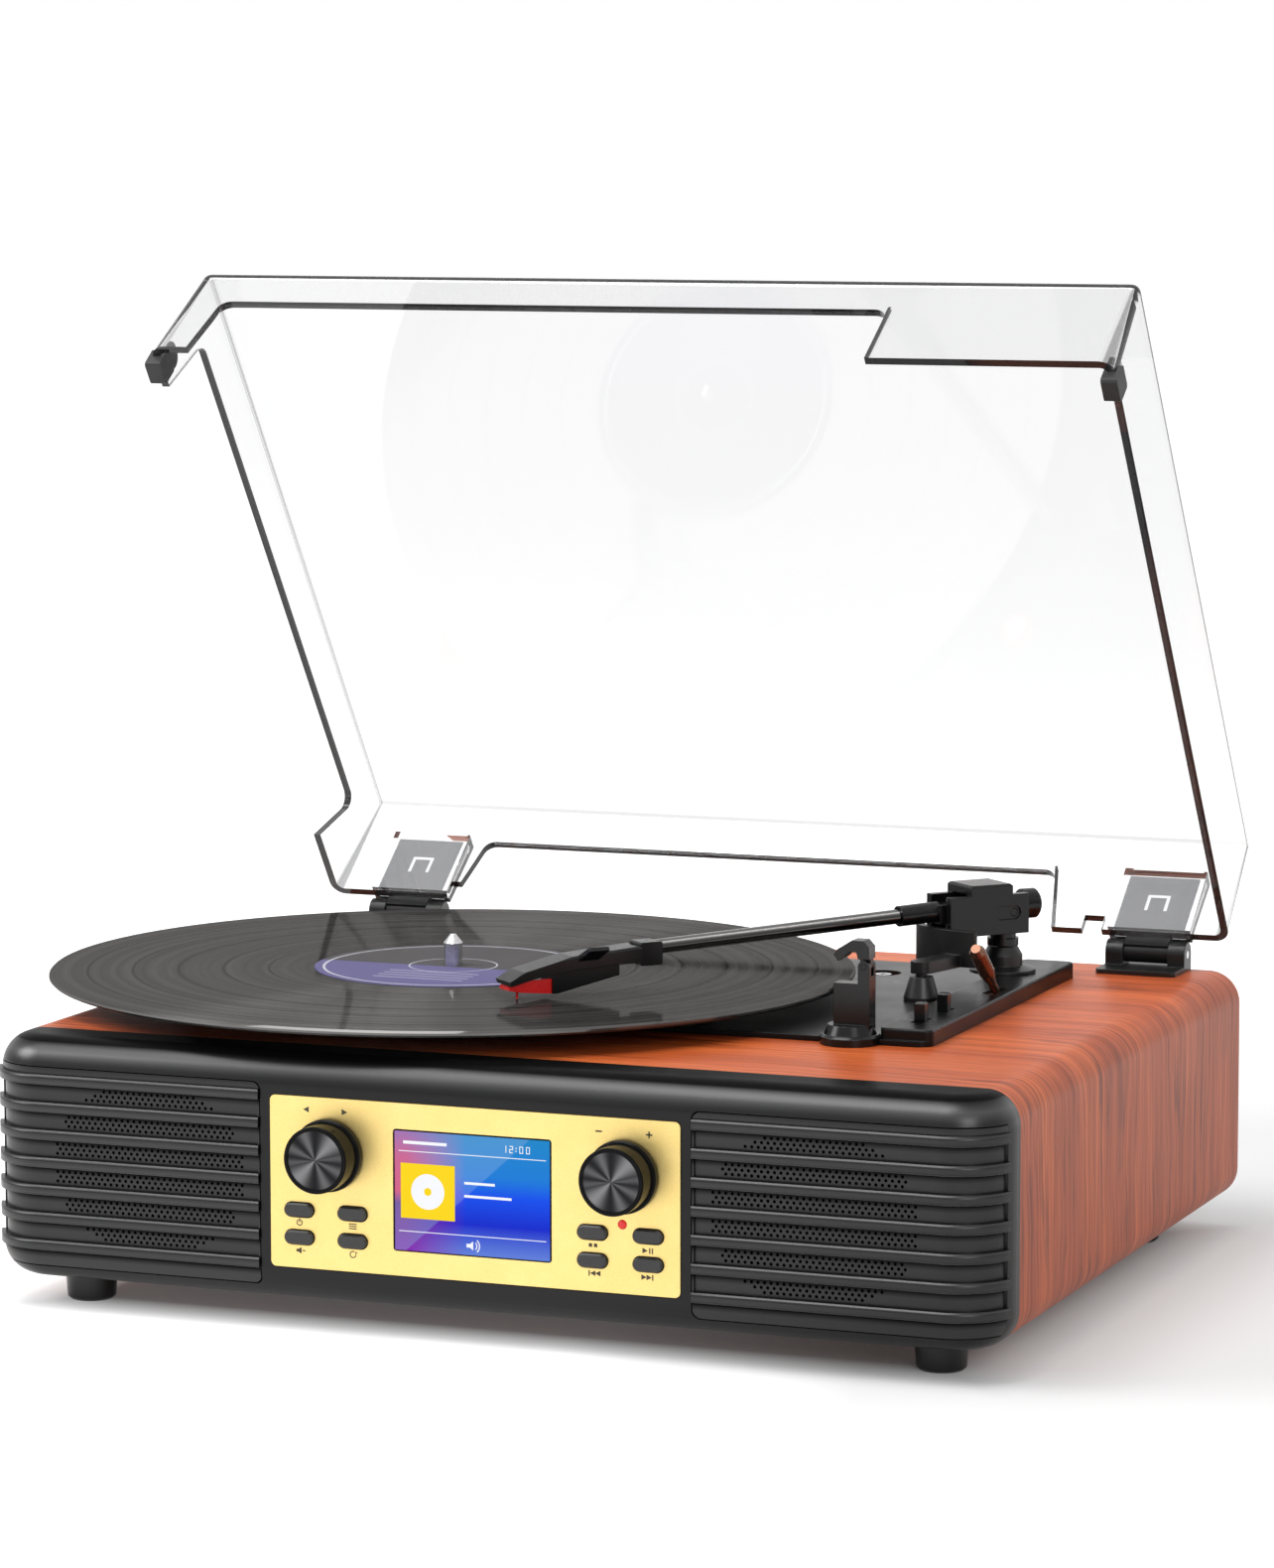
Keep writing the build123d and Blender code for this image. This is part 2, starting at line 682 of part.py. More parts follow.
with BuildPart() as record:
    with BuildSketch(Plane.XY.offset(-label_thickness)):
        Circle(record_radius)
    extrude(amount=-record_thickness)
    chamfer(record.edges(), record_bevel)
    with BuildSketch(Plane.XY.offset(-label_thickness)):
        Circle(hole_radius)
    extrude(amount=-record_thickness, mode=Mode.SUBTRACT)
record.part.label = "record"
export_step(record.part, "parts/record.step")
with BuildPart() as record_label:
    with BuildSketch(Plane.XY):
        Circle(label_radius)
        Circle(hole_radius, mode=Mode.SUBTRACT)
    extrude(amount=-label_thickness)
record_label.part.label = "record_label"
export_step(record_label.part, "parts/record_label.step")
with BuildPart() as spindle:
    with BuildSketch(Plane.XZ):
        with BuildLine():
            Polyline(
                (0, spindle_bottom_z),
                (spindle_radius, spindle_bottom_z),
                (spindle_radius, -spindle_relief_height),
                (spindle_relief_radius, -spindle_relief_height),
                (spindle_relief_radius, 0),
                (spindle_radius, 0),
                (spindle_radius, spindle_neck_top_z),
                (spindle_tip_radius, spindle_top_z),
                (0, spindle_top_z),
                close=True,
            )
        make_face()
    revolve(axis=Axis.Z)
spindle.part.label = "spindle"
export_step(spindle.part, "parts/spindle.step")

# Bearing, motor, pulley and belt
with BuildPart() as platter_bearing:
    with BuildSketch(Plane.XY.offset(bearing_bottom_z)):
        Circle(bearing_radius)
    extrude(amount=bearing_top_z - bearing_bottom_z)
    with BuildSketch(Plane.XY.offset(well_floor_z - well_wall)):
        Circle(bearing_flange_radius)
    extrude(amount=-bearing_flange_thickness)
    with BuildSketch(Plane.XY.offset(bearing_top_z)):
        Circle(hole_radius)
    extrude(amount=-(bearing_top_z - bearing_bottom_z - bearing_floor), mode=Mode.SUBTRACT)
platter_bearing.part.label = "platter_bearing"
export_step(platter_bearing.part, "parts/platter_bearing.step")
with BuildPart() as motor:
    with BuildSketch(Plane.XY.offset(well_floor_z - well_wall)):
        with Locations((motor_x, motor_y)):
            Circle(motor_radius)
    extrude(amount=-motor_length)
    with BuildSketch(Plane.XY.offset(well_floor_z - well_wall)):
        with Locations((motor_x, motor_y)):
            Circle(motor_shaft_radius + running_clearance)
    extrude(amount=-motor_length / 2, mode=Mode.SUBTRACT)
motor.part.label = "motor"
export_step(motor.part, "parts/motor.step")
pulley_radius = 5.0
pulley_flange = 1.2
pulley_flange_thickness = 1.2
belt_width = 4.0
belt_thickness = 0.8
belt_gap = 0.3
belt_top_z = -13.5
pulley_groove = belt_width + 2 * belt_gap
pulley_top_z = belt_top_z + belt_gap + pulley_flange_thickness
pulley_bottom_z = pulley_top_z - pulley_groove - 2 * pulley_flange_thickness
with BuildPart() as motor_pulley:
    with BuildSketch(Plane.XY.offset(pulley_bottom_z)):
        with Locations((motor_x, motor_y)):
            Circle(pulley_radius + pulley_flange)
    extrude(amount=pulley_top_z - pulley_bottom_z)
    with BuildSketch(Plane.XY.offset(belt_top_z + belt_gap)):
        with Locations((motor_x, motor_y)):
            Circle(pulley_radius + pulley_flange)
            Circle(pulley_radius, mode=Mode.SUBTRACT)
    extrude(amount=-pulley_groove, mode=Mode.SUBTRACT)
    with BuildSketch(Plane.XY.offset(pulley_bottom_z)):
        with Locations((motor_x, motor_y)):
            Circle(motor_shaft_radius)
    extrude(amount=-(pulley_bottom_z - well_floor_z + well_wall + motor_length / 2 - moving_clearance))
motor_pulley.part.label = "motor_pulley"
export_step(motor_pulley.part, "parts/motor_pulley.step")
with BuildPart() as drive_belt:
    with BuildSketch(Plane.XY.offset(belt_top_z)):
        Circle(platter_ring_radius + belt_gap + belt_thickness)
        with Locations((motor_x, motor_y)):
            Circle(pulley_radius + belt_gap + belt_thickness)
        make_hull()
    extrude(amount=-belt_width)
    with BuildSketch(Plane.XY.offset(belt_top_z)):
        Circle(platter_ring_radius + belt_gap)
        with Locations((motor_x, motor_y)):
            Circle(pulley_radius + belt_gap)
        make_hull()
    extrude(amount=-belt_width, mode=Mode.SUBTRACT)
drive_belt.part.label = "drive_belt"
export_step(drive_belt.part, "parts/drive_belt.step")

# Tonearm, lengths counted along the arm from its upright pivot
pivot_x = 188.0
pivot_y = 88.0
arm_pivot_z = 19.0
arm_angle = -131.5
arm_cos = math.cos(math.radians(arm_angle))
arm_sin = math.sin(math.radians(arm_angle))
arm_side = Plane(origin=(pivot_x, pivot_y, 0), x_dir=(arm_cos, arm_sin, 0), z_dir=(arm_sin, -arm_cos, 0))
pivot_axis = Axis((pivot_x, pivot_y, 0), (0, 0, 1))
pivot_section = Plane(origin=(pivot_x, pivot_y, 0), x_dir=(1, 0, 0), z_dir=(0, -1, 0))
base_radius = 12.5
base_rim_height = 1.2
base_collar_radius = 7.5
base_collar_bottom_z = -2.0
base_collar_top_z = 2.0
base_top_radius = 5.6
base_top_z = 5.3
stem_radius = 2.0
stem_bottom_gap = 1.0
with BuildPart() as tonearm_base:
    with BuildSketch(pivot_section):
        with BuildLine():
            Polyline(
                (0, console_top_z),
                (base_radius, console_top_z),
                (base_radius, console_top_z + base_rim_height),
                (base_collar_radius, base_collar_bottom_z),
                (base_collar_radius, base_collar_top_z),
                (base_top_radius, base_top_z),
                (stem_radius + running_clearance, base_top_z),
                (stem_radius + running_clearance, console_top_z + stem_bottom_gap),
                (0, console_top_z + stem_bottom_gap),
                close=True,
            )
        make_face()
    revolve(axis=pivot_axis)
tonearm_base.part.label = "tonearm_base"
export_step(tonearm_base.part, "parts/tonearm_base.step")

# Swinging housing with its stem, neck and cheeks
ring_radius = 6.0
ring_bottom_z = 5.7
ring_top_z = 8.5
neck_radius = 5.0
housing_bottom_z = 11.0
housing_top_z = 30.0
housing_step_z = 26.0
housing_rear_s = -6.0
housing_cap_rear_s = 1.0
housing_cap_front_s = 19.0
housing_front_s = 28.0
housing_width = 18.0
channel_width = 11.0
channel_bottom_z = 13.5
channel_top_z = 26.5
cheek_slot_length = 11.0
cheek_slot_height = 5.0
cheek_slot_depth = 0.8
cheek_slot_s = 3.0
pivot_pin_radius = 1.5
housing_edge = 0.8
with BuildPart() as tonearm_yoke:
    with BuildSketch(arm_side):
        with BuildLine():
            Polyline(
                (housing_rear_s, housing_bottom_z),
                (housing_front_s, housing_bottom_z),
                (housing_front_s, housing_step_z),
                (housing_cap_front_s, housing_step_z),
                (housing_cap_front_s, housing_top_z),
                (housing_cap_rear_s, housing_top_z),
                (housing_cap_rear_s, housing_step_z),
                (housing_rear_s, housing_step_z),
                close=True,
            )
        make_face()
    extrude(amount=housing_width / 2, both=True)
    chamfer(tonearm_yoke.edges().filter_by(Axis.Z, reverse=True).group_by(Axis.Z)[-1], housing_edge)
    with BuildSketch(arm_side):
        with Locations(((housing_rear_s + housing_front_s) / 2, (channel_bottom_z + channel_top_z) / 2)):
            Rectangle(2 * (housing_front_s - housing_rear_s), channel_top_z - channel_bottom_z)
    extrude(amount=channel_width / 2, both=True, mode=Mode.SUBTRACT)
    with BuildSketch(arm_side):
        with Locations((0, arm_pivot_z)):
            Circle(pivot_pin_radius + running_clearance)
    extrude(amount=housing_width, both=True, mode=Mode.SUBTRACT)
    with BuildSketch(
        arm_side.offset(-housing_width / 2), arm_side.offset(housing_width / 2 - cheek_slot_depth)
    ):
        with Locations((cheek_slot_s, arm_pivot_z)):
            SlotOverall(cheek_slot_length, cheek_slot_height)
    extrude(amount=cheek_slot_depth, mode=Mode.SUBTRACT)
    with BuildSketch(pivot_section):
        with BuildLine():
            Polyline(
                (0, console_top_z + stem_bottom_gap + running_clearance),
                (stem_radius, console_top_z + stem_bottom_gap + running_clearance),
                (stem_radius, ring_bottom_z),
                (ring_radius, ring_bottom_z),
                (ring_radius, ring_top_z),
                (neck_radius, ring_top_z),
                (neck_radius, housing_bottom_z + housing_edge),
                (0, housing_bottom_z + housing_edge),
                close=True,
            )
        make_face()
    revolve(axis=pivot_axis)
tonearm_yoke.part.label = "tonearm_yoke"
export_step(tonearm_yoke.part, "parts/tonearm_yoke.step")

# Lifting pivot block with its pin, tube socket and rear stem
tube_radius = 2.75
tube_bore_radius = 2.1
tube_rear_s = 31.0
tube_front_s = 151.0
tube_rear_z = 20.02
tube_front_z = 14.83
tube_slope = math.atan((tube_rear_z - tube_front_z) / (tube_front_s - tube_rear_s))
tube_length = (tube_front_s - tube_rear_s) / math.cos(tube_slope)
tube_start = (pivot_x + arm_cos * tube_rear_s, pivot_y + arm_sin * tube_rear_s, tube_rear_z)
tube_plane = Plane(
    origin=tube_start,
    x_dir=(arm_sin, -arm_cos, 0),
    z_dir=(arm_cos * math.cos(tube_slope), arm_sin * math.cos(tube_slope), -math.sin(tube_slope)),
)
bar_width = 9.6
bar_rear_s = -4.0
bar_front_s = 30.0
bar_bottom_z = 15.8
bar_top_z = 23.0
socket_radius = 3.9
socket_length = 14.5
socket_lead = 2.0
stem_rear_s = -15.0
stem_rear_radius = 2.0
weight_z = 20.7
with BuildPart() as pivot_block:
    with BuildSketch(arm_side):
        with Locations(((bar_rear_s + bar_front_s) / 2, (bar_bottom_z + bar_top_z) / 2)):
            Rectangle(bar_front_s - bar_rear_s, bar_top_z - bar_bottom_z)
    extrude(amount=bar_width / 2, both=True)
    with BuildSketch(tube_plane.offset(-socket_lead)):
        Circle(socket_radius)
    extrude(amount=socket_length + socket_lead)
    with BuildSketch(tube_plane):
        Circle(tube_radius + running_clearance)
    extrude(amount=socket_length, mode=Mode.SUBTRACT)
    with BuildSketch(arm_side):
        with Locations((0, arm_pivot_z)):
            Circle(pivot_pin_radius)
    extrude(amount=housing_width / 2 - cheek_slot_depth, both=True)
    with BuildSketch(
        Plane(
            origin=(pivot_x + arm_cos * stem_rear_s, pivot_y + arm_sin * stem_rear_s, weight_z),
            x_dir=(arm_sin, -arm_cos, 0),
            z_dir=(arm_cos, arm_sin, 0),
        )
    ):
        Circle(stem_rear_radius)
    extrude(amount=bar_rear_s - stem_rear_s)
pivot_block.part.label = "pivot_block"
export_step(pivot_block.part, "parts/pivot_block.step")
with BuildPart() as arm_tube:
    with BuildSketch(tube_plane):
        Circle(tube_radius)
        Circle(tube_bore_radius, mode=Mode.SUBTRACT)
    extrude(amount=tube_length)
arm_tube.part.label = "arm_tube"
export_step(arm_tube.part, "parts/arm_tube.step")
weight_radius = 5.7
weight_front_s = -7.2
weight_length = 7.0
weight_edge = 0.8
with BuildPart() as counterweight:
    with BuildSketch(
        Plane(
            origin=(pivot_x + arm_cos * weight_front_s, pivot_y + arm_sin * weight_front_s, weight_z),
            x_dir=(arm_sin, -arm_cos, 0),
            z_dir=(-arm_cos, -arm_sin, 0),
        )
    ):
        Circle(weight_radius)
    extrude(amount=weight_length)
    chamfer(counterweight.edges(), weight_edge)
    with BuildSketch(
        Plane(
            origin=(pivot_x + arm_cos * weight_front_s, pivot_y + arm_sin * weight_front_s, weight_z),
            x_dir=(arm_sin, -arm_cos, 0),
            z_dir=(-arm_cos, -arm_sin, 0),
        )
    ):
        Circle(stem_rear_radius + running_clearance)
    extrude(amount=weight_length, mode=Mode.SUBTRACT)
counterweight.part.label = "counterweight"
export_step(counterweight.part, "parts/counterweight.step")

# Headshell with collar and finger lift, cartridge below it, stylus in front
collar_rear_s = 147.0
collar_front_s = 156.0
collar_bottom_z = 9.0
collar_top_z = 17.6
collar_width = 9.0
shell_width = 12.0
shell_under_rear_z = 10.5
shell_under_mid_s = 184.0
shell_under_mid_z = 9.5
shell_under_front_s = 200.0
shell_under_front_z = 7.5
shell_nose_s = 209.0
shell_nose_low_z = 5.4
shell_tip_s = 209.7
shell_tip_z = 7.0
shell_brow_s = 203.5
shell_brow_z = 10.2
shell_crown_s = 184.0
shell_crown_z = 14.6
shell_rear_s = 160.0
shell_rear_z = 16.3
shell_root_z = 16.5
cartridge_rear_s = 165.0
cartridge_rear_z = 6.5
cartridge_low_s = 190.0
cartridge_front_s = 192.0
cartridge_bottom_z = 1.5
cartridge_width = 10.0
under_slope = (shell_under_front_z - shell_under_mid_z) / (shell_under_front_s - shell_under_mid_s)
cartridge_front_top_z = shell_under_mid_z + under_slope * (cartridge_front_s - shell_under_mid_s)
finger_s = 174.0
finger_length = 8.0
finger_side = Plane(
    origin=(pivot_x + arm_cos * finger_s, pivot_y + arm_sin * finger_s, 0),
    x_dir=(-arm_sin, arm_cos, 0),
    z_dir=(arm_cos, arm_sin, 0),
)
finger_root = 4.0
finger_reach = 14.0
finger_low_z = 13.0
finger_tip_z = 18.8
finger_thickness = 1.2
shell_edge = 0.8
with BuildPart() as headshell:
    with BuildSketch(arm_side):
        with BuildLine():
            Polyline(
                (collar_front_s, shell_under_rear_z),
                (cartridge_rear_s, shell_under_rear_z),
                (shell_under_mid_s, shell_under_mid_z),
                (shell_under_front_s, shell_under_front_z),
                (shell_nose_s, shell_nose_low_z),
                (shell_tip_s, shell_tip_z),
                (shell_brow_s, shell_brow_z),
                (shell_crown_s, shell_crown_z),
                (shell_rear_s, shell_rear_z),
                (collar_front_s, shell_root_z),
                close=True,
            )
        make_face()
    extrude(amount=shell_width / 2, both=True)
    chamfer(headshell.faces().sort_by(Axis.Z)[-1].edges(), shell_edge)
    with BuildSketch(arm_side):
        with Locations(((collar_rear_s + collar_front_s) / 2, (collar_bottom_z + collar_top_z) / 2)):
            RectangleRounded(collar_front_s - collar_rear_s, collar_top_z - collar_bottom_z, shell_edge)
    extrude(amount=collar_width / 2, both=True)
    with BuildSketch(finger_side):
        with BuildLine():
            Polyline(
                (finger_root, finger_low_z),
                (finger_root, finger_low_z + finger_thickness),
                (finger_reach, finger_tip_z),
                (finger_reach + finger_thickness, finger_tip_z - finger_thickness),
                (finger_root + 2 * finger_thickness, finger_low_z),
                close=True,
            )
        make_face()
    extrude(amount=finger_length)
    with BuildSketch(tube_plane.offset(tube_length + running_clearance)):
        Circle(tube_radius + running_clearance)
    extrude(amount=-2 * (tube_front_s - collar_rear_s), mode=Mode.SUBTRACT)
headshell.part.label = "headshell"
export_step(headshell.part, "parts/headshell.step")
with BuildPart() as cartridge:
    with BuildSketch(arm_side):
        with BuildLine():
            Polyline(
                (cartridge_rear_s, shell_under_rear_z),
                (shell_under_mid_s, shell_under_mid_z),
                (cartridge_front_s, cartridge_front_top_z),
                (cartridge_front_s, cartridge_bottom_z),
                (cartridge_low_s, cartridge_bottom_z),
                (cartridge_rear_s, cartridge_rear_z),
                close=True,
            )
        make_face()
    extrude(amount=cartridge_width / 2, both=True)
cartridge.part.label = "cartridge"
export_step(cartridge.part, "parts/cartridge.step")
stylus_width = 8.0
stylus_top_z = 7.0
stylus_front_s = 209.0
stylus_front_top_z = 4.9
stylus_front_low_z = 3.6
stylus_tip_s = 204.0
stylus_tip_z = 0.0
stylus_tip_radius = 0.5
stylus_chin_z = 2.6
with BuildPart() as stylus:
    with BuildSketch(arm_side):
        with BuildLine():
            Polyline(
                (cartridge_front_s, cartridge_bottom_z),
                (stylus_tip_s, stylus_chin_z),
                (stylus_front_s, stylus_front_low_z),
                (stylus_front_s, stylus_front_top_z),
                (shell_under_front_s, stylus_top_z),
                (cartridge_front_s, stylus_top_z),
                close=True,
            )
        make_face()
    extrude(amount=stylus_width / 2, both=True)
    with BuildSketch(
        Plane(origin=(pivot_x + arm_cos * stylus_tip_s, pivot_y + arm_sin * stylus_tip_s, stylus_top_z / 2))
    ):
        Circle(stylus_tip_radius)
    extrude(amount=-(stylus_top_z / 2 - stylus_tip_z))
stylus.part.label = "stylus"
export_step(stylus.part, "parts/stylus.step")

# Arm lift: guide on the deck and the curved wall that rises under the arm
lift_x = 173.0
lift_y = 36.0
lift_base_radius = 6.6
lift_top_radius = 4.4
lift_top_z = 0.2
lift_stem_radius = 2.0
arc_radius = 33.0
arc_wall = 3.0
arc_start = -143.0
arc_end = -90.0
arc_bottom_z = 1.5
arc_top_z = 15.0
bracket_width = 8.0
bracket_top_z = 6.0
lift_section = Plane(origin=(lift_x, lift_y, 0), x_dir=(1, 0, 0), z_dir=(0, -1, 0))
lift_axis = Axis((lift_x, lift_y, 0), (0, 0, 1))
with BuildPart() as lift_base:
    with BuildSketch(lift_section):
        with BuildLine():
            Polyline(
                (lift_stem_radius + running_clearance, deck_top_z),
                (lift_base_radius, deck_top_z),
                (lift_base_radius, deck_top_z + base_rim_height),
                (lift_top_radius, lift_top_z),
                (lift_stem_radius + running_clearance, lift_top_z),
                close=True,
            )
        make_face()
    revolve(axis=lift_axis)
lift_base.part.label = "lift_base"
export_step(lift_base.part, "parts/lift_base.step")
bracket_angle = math.degrees(math.atan2(lift_y - pivot_y, lift_x - pivot_x))
bracket_far = math.hypot(lift_x - pivot_x, lift_y - pivot_y)
with BuildPart() as lift_arc:
    with BuildSketch(Plane(origin=(pivot_x, pivot_y, arc_bottom_z))):
        with BuildLine():
            CenterArc((0, 0), arc_radius - arc_wall / 2, arc_start, arc_end - arc_start)
            CenterArc((0, 0), arc_radius + arc_wall / 2, arc_start, arc_end - arc_start)
            Line(
                PolarLine((0, 0), arc_radius - arc_wall / 2, arc_start, mode=Mode.PRIVATE) @ 1,
                PolarLine((0, 0), arc_radius + arc_wall / 2, arc_start, mode=Mode.PRIVATE) @ 1,
            )
            Line(
                PolarLine((0, 0), arc_radius - arc_wall / 2, arc_end, mode=Mode.PRIVATE) @ 1,
                PolarLine((0, 0), arc_radius + arc_wall / 2, arc_end, mode=Mode.PRIVATE) @ 1,
            )
        make_face()
    extrude(amount=arc_top_z - arc_bottom_z)
    with BuildSketch(Plane(origin=(pivot_x, pivot_y, arc_bottom_z)).rotated((0, 0, bracket_angle))):
        with Locations(((arc_radius + bracket_far) / 2, 0)):
            Rectangle(bracket_far - arc_radius, bracket_width)
        with Locations((bracket_far, 0)):
            Circle(bracket_width / 2)
    extrude(amount=bracket_top_z - arc_bottom_z)
    with BuildSketch(Plane(origin=(lift_x, lift_y, arc_bottom_z))):
        Circle(lift_stem_radius)
    extrude(amount=-(arc_bottom_z - deck_top_z - moving_clearance))
lift_arc.part.label = "lift_arc"
export_step(lift_arc.part, "parts/lift_arc.step")

# Cue lever leaning to the front
lever_lean = 52.0
lever_length = 35.0
lever_neck_radius = 1.6
lever_neck_length = 10.0
lever_grip_radius = 3.0
lever_grip_start = 18.0
lever_tip_radius = 1.8
lever_tip_length = 2.5
lever_heel = 1.9
lever_cos = math.cos(math.radians(lever_lean))
lever_sin = math.sin(math.radians(lever_lean))
lever_foot = (lever_x, lever_y, lever_pivot_z)
with BuildPart() as cue_lever:
    with BuildSketch(Plane(origin=lever_foot, x_dir=(1, 0, 0), z_dir=(0, -lever_cos, -lever_sin))):
        with BuildLine():
            Polyline(
                (0, -lever_heel),
                (lever_neck_radius, -lever_heel),
                (lever_neck_radius, lever_neck_length),
                (lever_grip_radius, lever_grip_start),
                (lever_grip_radius, lever_length - lever_tip_length),
                (lever_tip_radius, lever_length),
                (0, lever_length),
                close=True,
            )
        make_face()
    revolve(axis=Axis(lever_foot, (0, -lever_sin, lever_cos)))
    with BuildSketch(Plane.YZ.offset(lever_x)):
        with Locations((lever_y, lever_pivot_z)):
            Circle(lever_pin_radius)
    extrude(amount=lever_pin_length / 2 - seat_clearance, both=True)
cue_lever.part.label = "cue_lever"
export_step(cue_lever.part, "parts/cue_lever.step")

# Arm rest with a fork for its hinged clip
rest_disc_height = 3.5
rest_cone_radius = 9.5
rest_cone_top_radius = 8.0
rest_cone_height = 3.5
rest_post_left_x = 171.3
rest_post_right_x = 184.8
rest_post_depth = 6.8
rest_floor_z = 11.4
rest_wall_left_x = 180.4
clip_pivot_x = 182.6
clip_pivot_z = 17.5
clip_pin_radius = 1.0
clip_tongue = 3.0
fork_radius = 2.2
fork_floor_z = 14.0
rest_side = Plane(origin=(0, rest_y, 0), x_dir=(1, 0, 0), z_dir=(0, -1, 0))
with BuildPart() as arm_rest:
    with BuildSketch(Plane(origin=(rest_x, rest_y, cabinet_top_z))):
        Circle(rest_disc_radius)
    extrude(amount=rest_disc_height)
    chamfer(arm_rest.faces().sort_by(Axis.Z)[-1].edges(), shell_edge)
    with BuildSketch(Plane(origin=(rest_x, rest_y, cabinet_top_z + rest_disc_height))):
        Circle(rest_cone_radius)
    extrude(
        amount=rest_cone_height,
        taper=math.degrees(math.atan((rest_cone_radius - rest_cone_top_radius) / rest_cone_height)),
    )
    with BuildSketch(rest_side):
        with BuildLine():
            Polyline(
                (rest_post_left_x, cabinet_top_z + rest_disc_height),
                (rest_post_right_x, cabinet_top_z + rest_disc_height),
                (rest_post_right_x, clip_pivot_z),
                (rest_wall_left_x, clip_pivot_z),
                (rest_wall_left_x, rest_floor_z),
                (rest_post_left_x, rest_floor_z),
                close=True,
            )
        make_face()
        with Locations((clip_pivot_x, clip_pivot_z)):
            Circle(fork_radius)
    extrude(amount=rest_post_depth / 2, both=True)
    with BuildSketch(rest_side):
        with Locations((clip_pivot_x, (fork_floor_z + housing_top_z) / 2)):
            Rectangle(4 * fork_radius, housing_top_z - fork_floor_z)
    extrude(amount=clip_tongue / 2 + running_clearance, both=True, mode=Mode.SUBTRACT)
    with BuildSketch(rest_side):
        with Locations((clip_pivot_x, clip_pivot_z)):
            Circle(clip_pin_radius + running_clearance)
    extrude(amount=rest_post_depth / 2, both=True, mode=Mode.SUBTRACT)
arm_rest.part.label = "arm_rest"
export_step(arm_rest.part, "parts/arm_rest.step")
clip_root_z = 20.2
clip_top_z = 26.8
clip_inner_z = 22.6
clip_tip_x = 171.3
clip_tip_low_z = 19.2
clip_back_inset = 0.2
clip_shoulder_drop = 2.3
clip_shoulder_inset = 2.4
clip_crown_inset = 6.7
clip_brow_inset = 1.5
clip_brow_drop = 3.3
clip_nose_rise = 2.3
clip_hook_inset = 1.7
clip_hook_reach = 3.9
clip_hook_rise = 1.4
clip_arch_inset = 5.7
clip_root_step = 0.6
clip_fork_gap = 0.2
with BuildPart() as arm_clip:
    with BuildSketch(rest_side):
        with BuildLine():
            Polyline(
                (rest_wall_left_x, clip_root_z),
                (rest_post_right_x - clip_back_inset, clip_root_z),
                (rest_post_right_x - clip_back_inset, clip_top_z - clip_shoulder_drop),
                (rest_post_right_x - clip_shoulder_inset, clip_top_z),
                (clip_tip_x + clip_crown_inset, clip_top_z),
                (clip_tip_x + clip_brow_inset, clip_top_z - clip_brow_drop),
                (clip_tip_x, clip_tip_low_z + clip_nose_rise),
                (clip_tip_x + clip_hook_inset, clip_tip_low_z),
                (clip_tip_x + clip_hook_reach, clip_tip_low_z + clip_hook_rise),
                (clip_tip_x + clip_arch_inset, clip_inner_z),
                (rest_wall_left_x - clip_root_step, clip_inner_z),
                close=True,
            )
        make_face()
    extrude(amount=rest_post_depth / 2, both=True)
    with BuildSketch(rest_side):
        with Locations((clip_pivot_x, (clip_pivot_z + clip_root_z) / 2)):
            Rectangle(2 * (fork_radius - clip_fork_gap), clip_root_z - clip_pivot_z)
        with Locations((clip_pivot_x, clip_pivot_z)):
            Circle(fork_radius - clip_fork_gap)
    extrude(amount=clip_tongue / 2, both=True)
    with BuildSketch(rest_side):
        with Locations((clip_pivot_x, clip_pivot_z)):
            Circle(clip_pin_radius)
    extrude(amount=rest_post_depth / 2, both=True)
arm_clip.part.label = "arm_clip"
export_step(arm_clip.part, "parts/arm_clip.step")

# Clear lid, standing open on its two hinges
hinge_back_gap = 4.0
hinge_y = cabinet_back_y - hinge_back_gap
hinge_z = -4.3
hinge_spacing = 311.0
lid_open_angle = 54.5
lid_width = 377.0
lid_length = 281.0
lid_depth = 51.0
lid_wall = 3.0
lid_flare = 3.0
lid_rim_gap = 6.0
lid_rim_height = 2.3
lid_corner_radius = 6.0
lid_edge_radius = 4.0
lid_sin = math.sin(math.radians(lid_open_angle))
lid_cos = math.cos(math.radians(lid_open_angle))
lid_taper = math.degrees(math.atan(lid_flare / lid_depth))
lid_origin = (cabinet_centre_x, hinge_y, hinge_z)
lid_up = Axis(lid_origin, (0, lid_sin, lid_cos))
lid_plane = Plane(origin=lid_origin, x_dir=(1, 0, 0), z_dir=(0, lid_sin, lid_cos))
lid_front_plane = Plane(origin=lid_origin, x_dir=(1, 0, 0), z_dir=(0, -lid_cos, lid_sin))
lid_side_plane = Plane(origin=lid_origin, x_dir=(0, lid_cos, -lid_sin), z_dir=(1, 0, 0))
lid_middle = -lid_rim_gap - lid_length / 2
lid_front = lid_rim_gap + lid_length
cut_overrun = 2.0
cut_low = lid_rim_height - cut_overrun
front_cut_left = -173.3
front_cut_right = 95.5
front_cut_depth = 30.5
front_cut_slant = 3.0
side_cut_tab = 19.0
side_cut_slant = 3.0
side_cut_rear = 33.0
side_cut_undercut = 10.0
side_cut_depth = 30.0
rear_cut_left = -135.3
rear_cut_right = 117.7
rear_cut_depth = 30.0
rear_cut_slant = 6.0
cut_corner_radius = 5.0
notch_width = 8.0
notch_height = 7.0
notch_offset = 22.0
pocket_width = 33.0
pocket_low = 5.6
pocket_high = 37.0
pocket_inner = 8.6
pocket_outer = 1.2
tongue_width = 28.0
tongue_thickness = 2.2
tongue_near = 2.7
tongue_high = 34.5
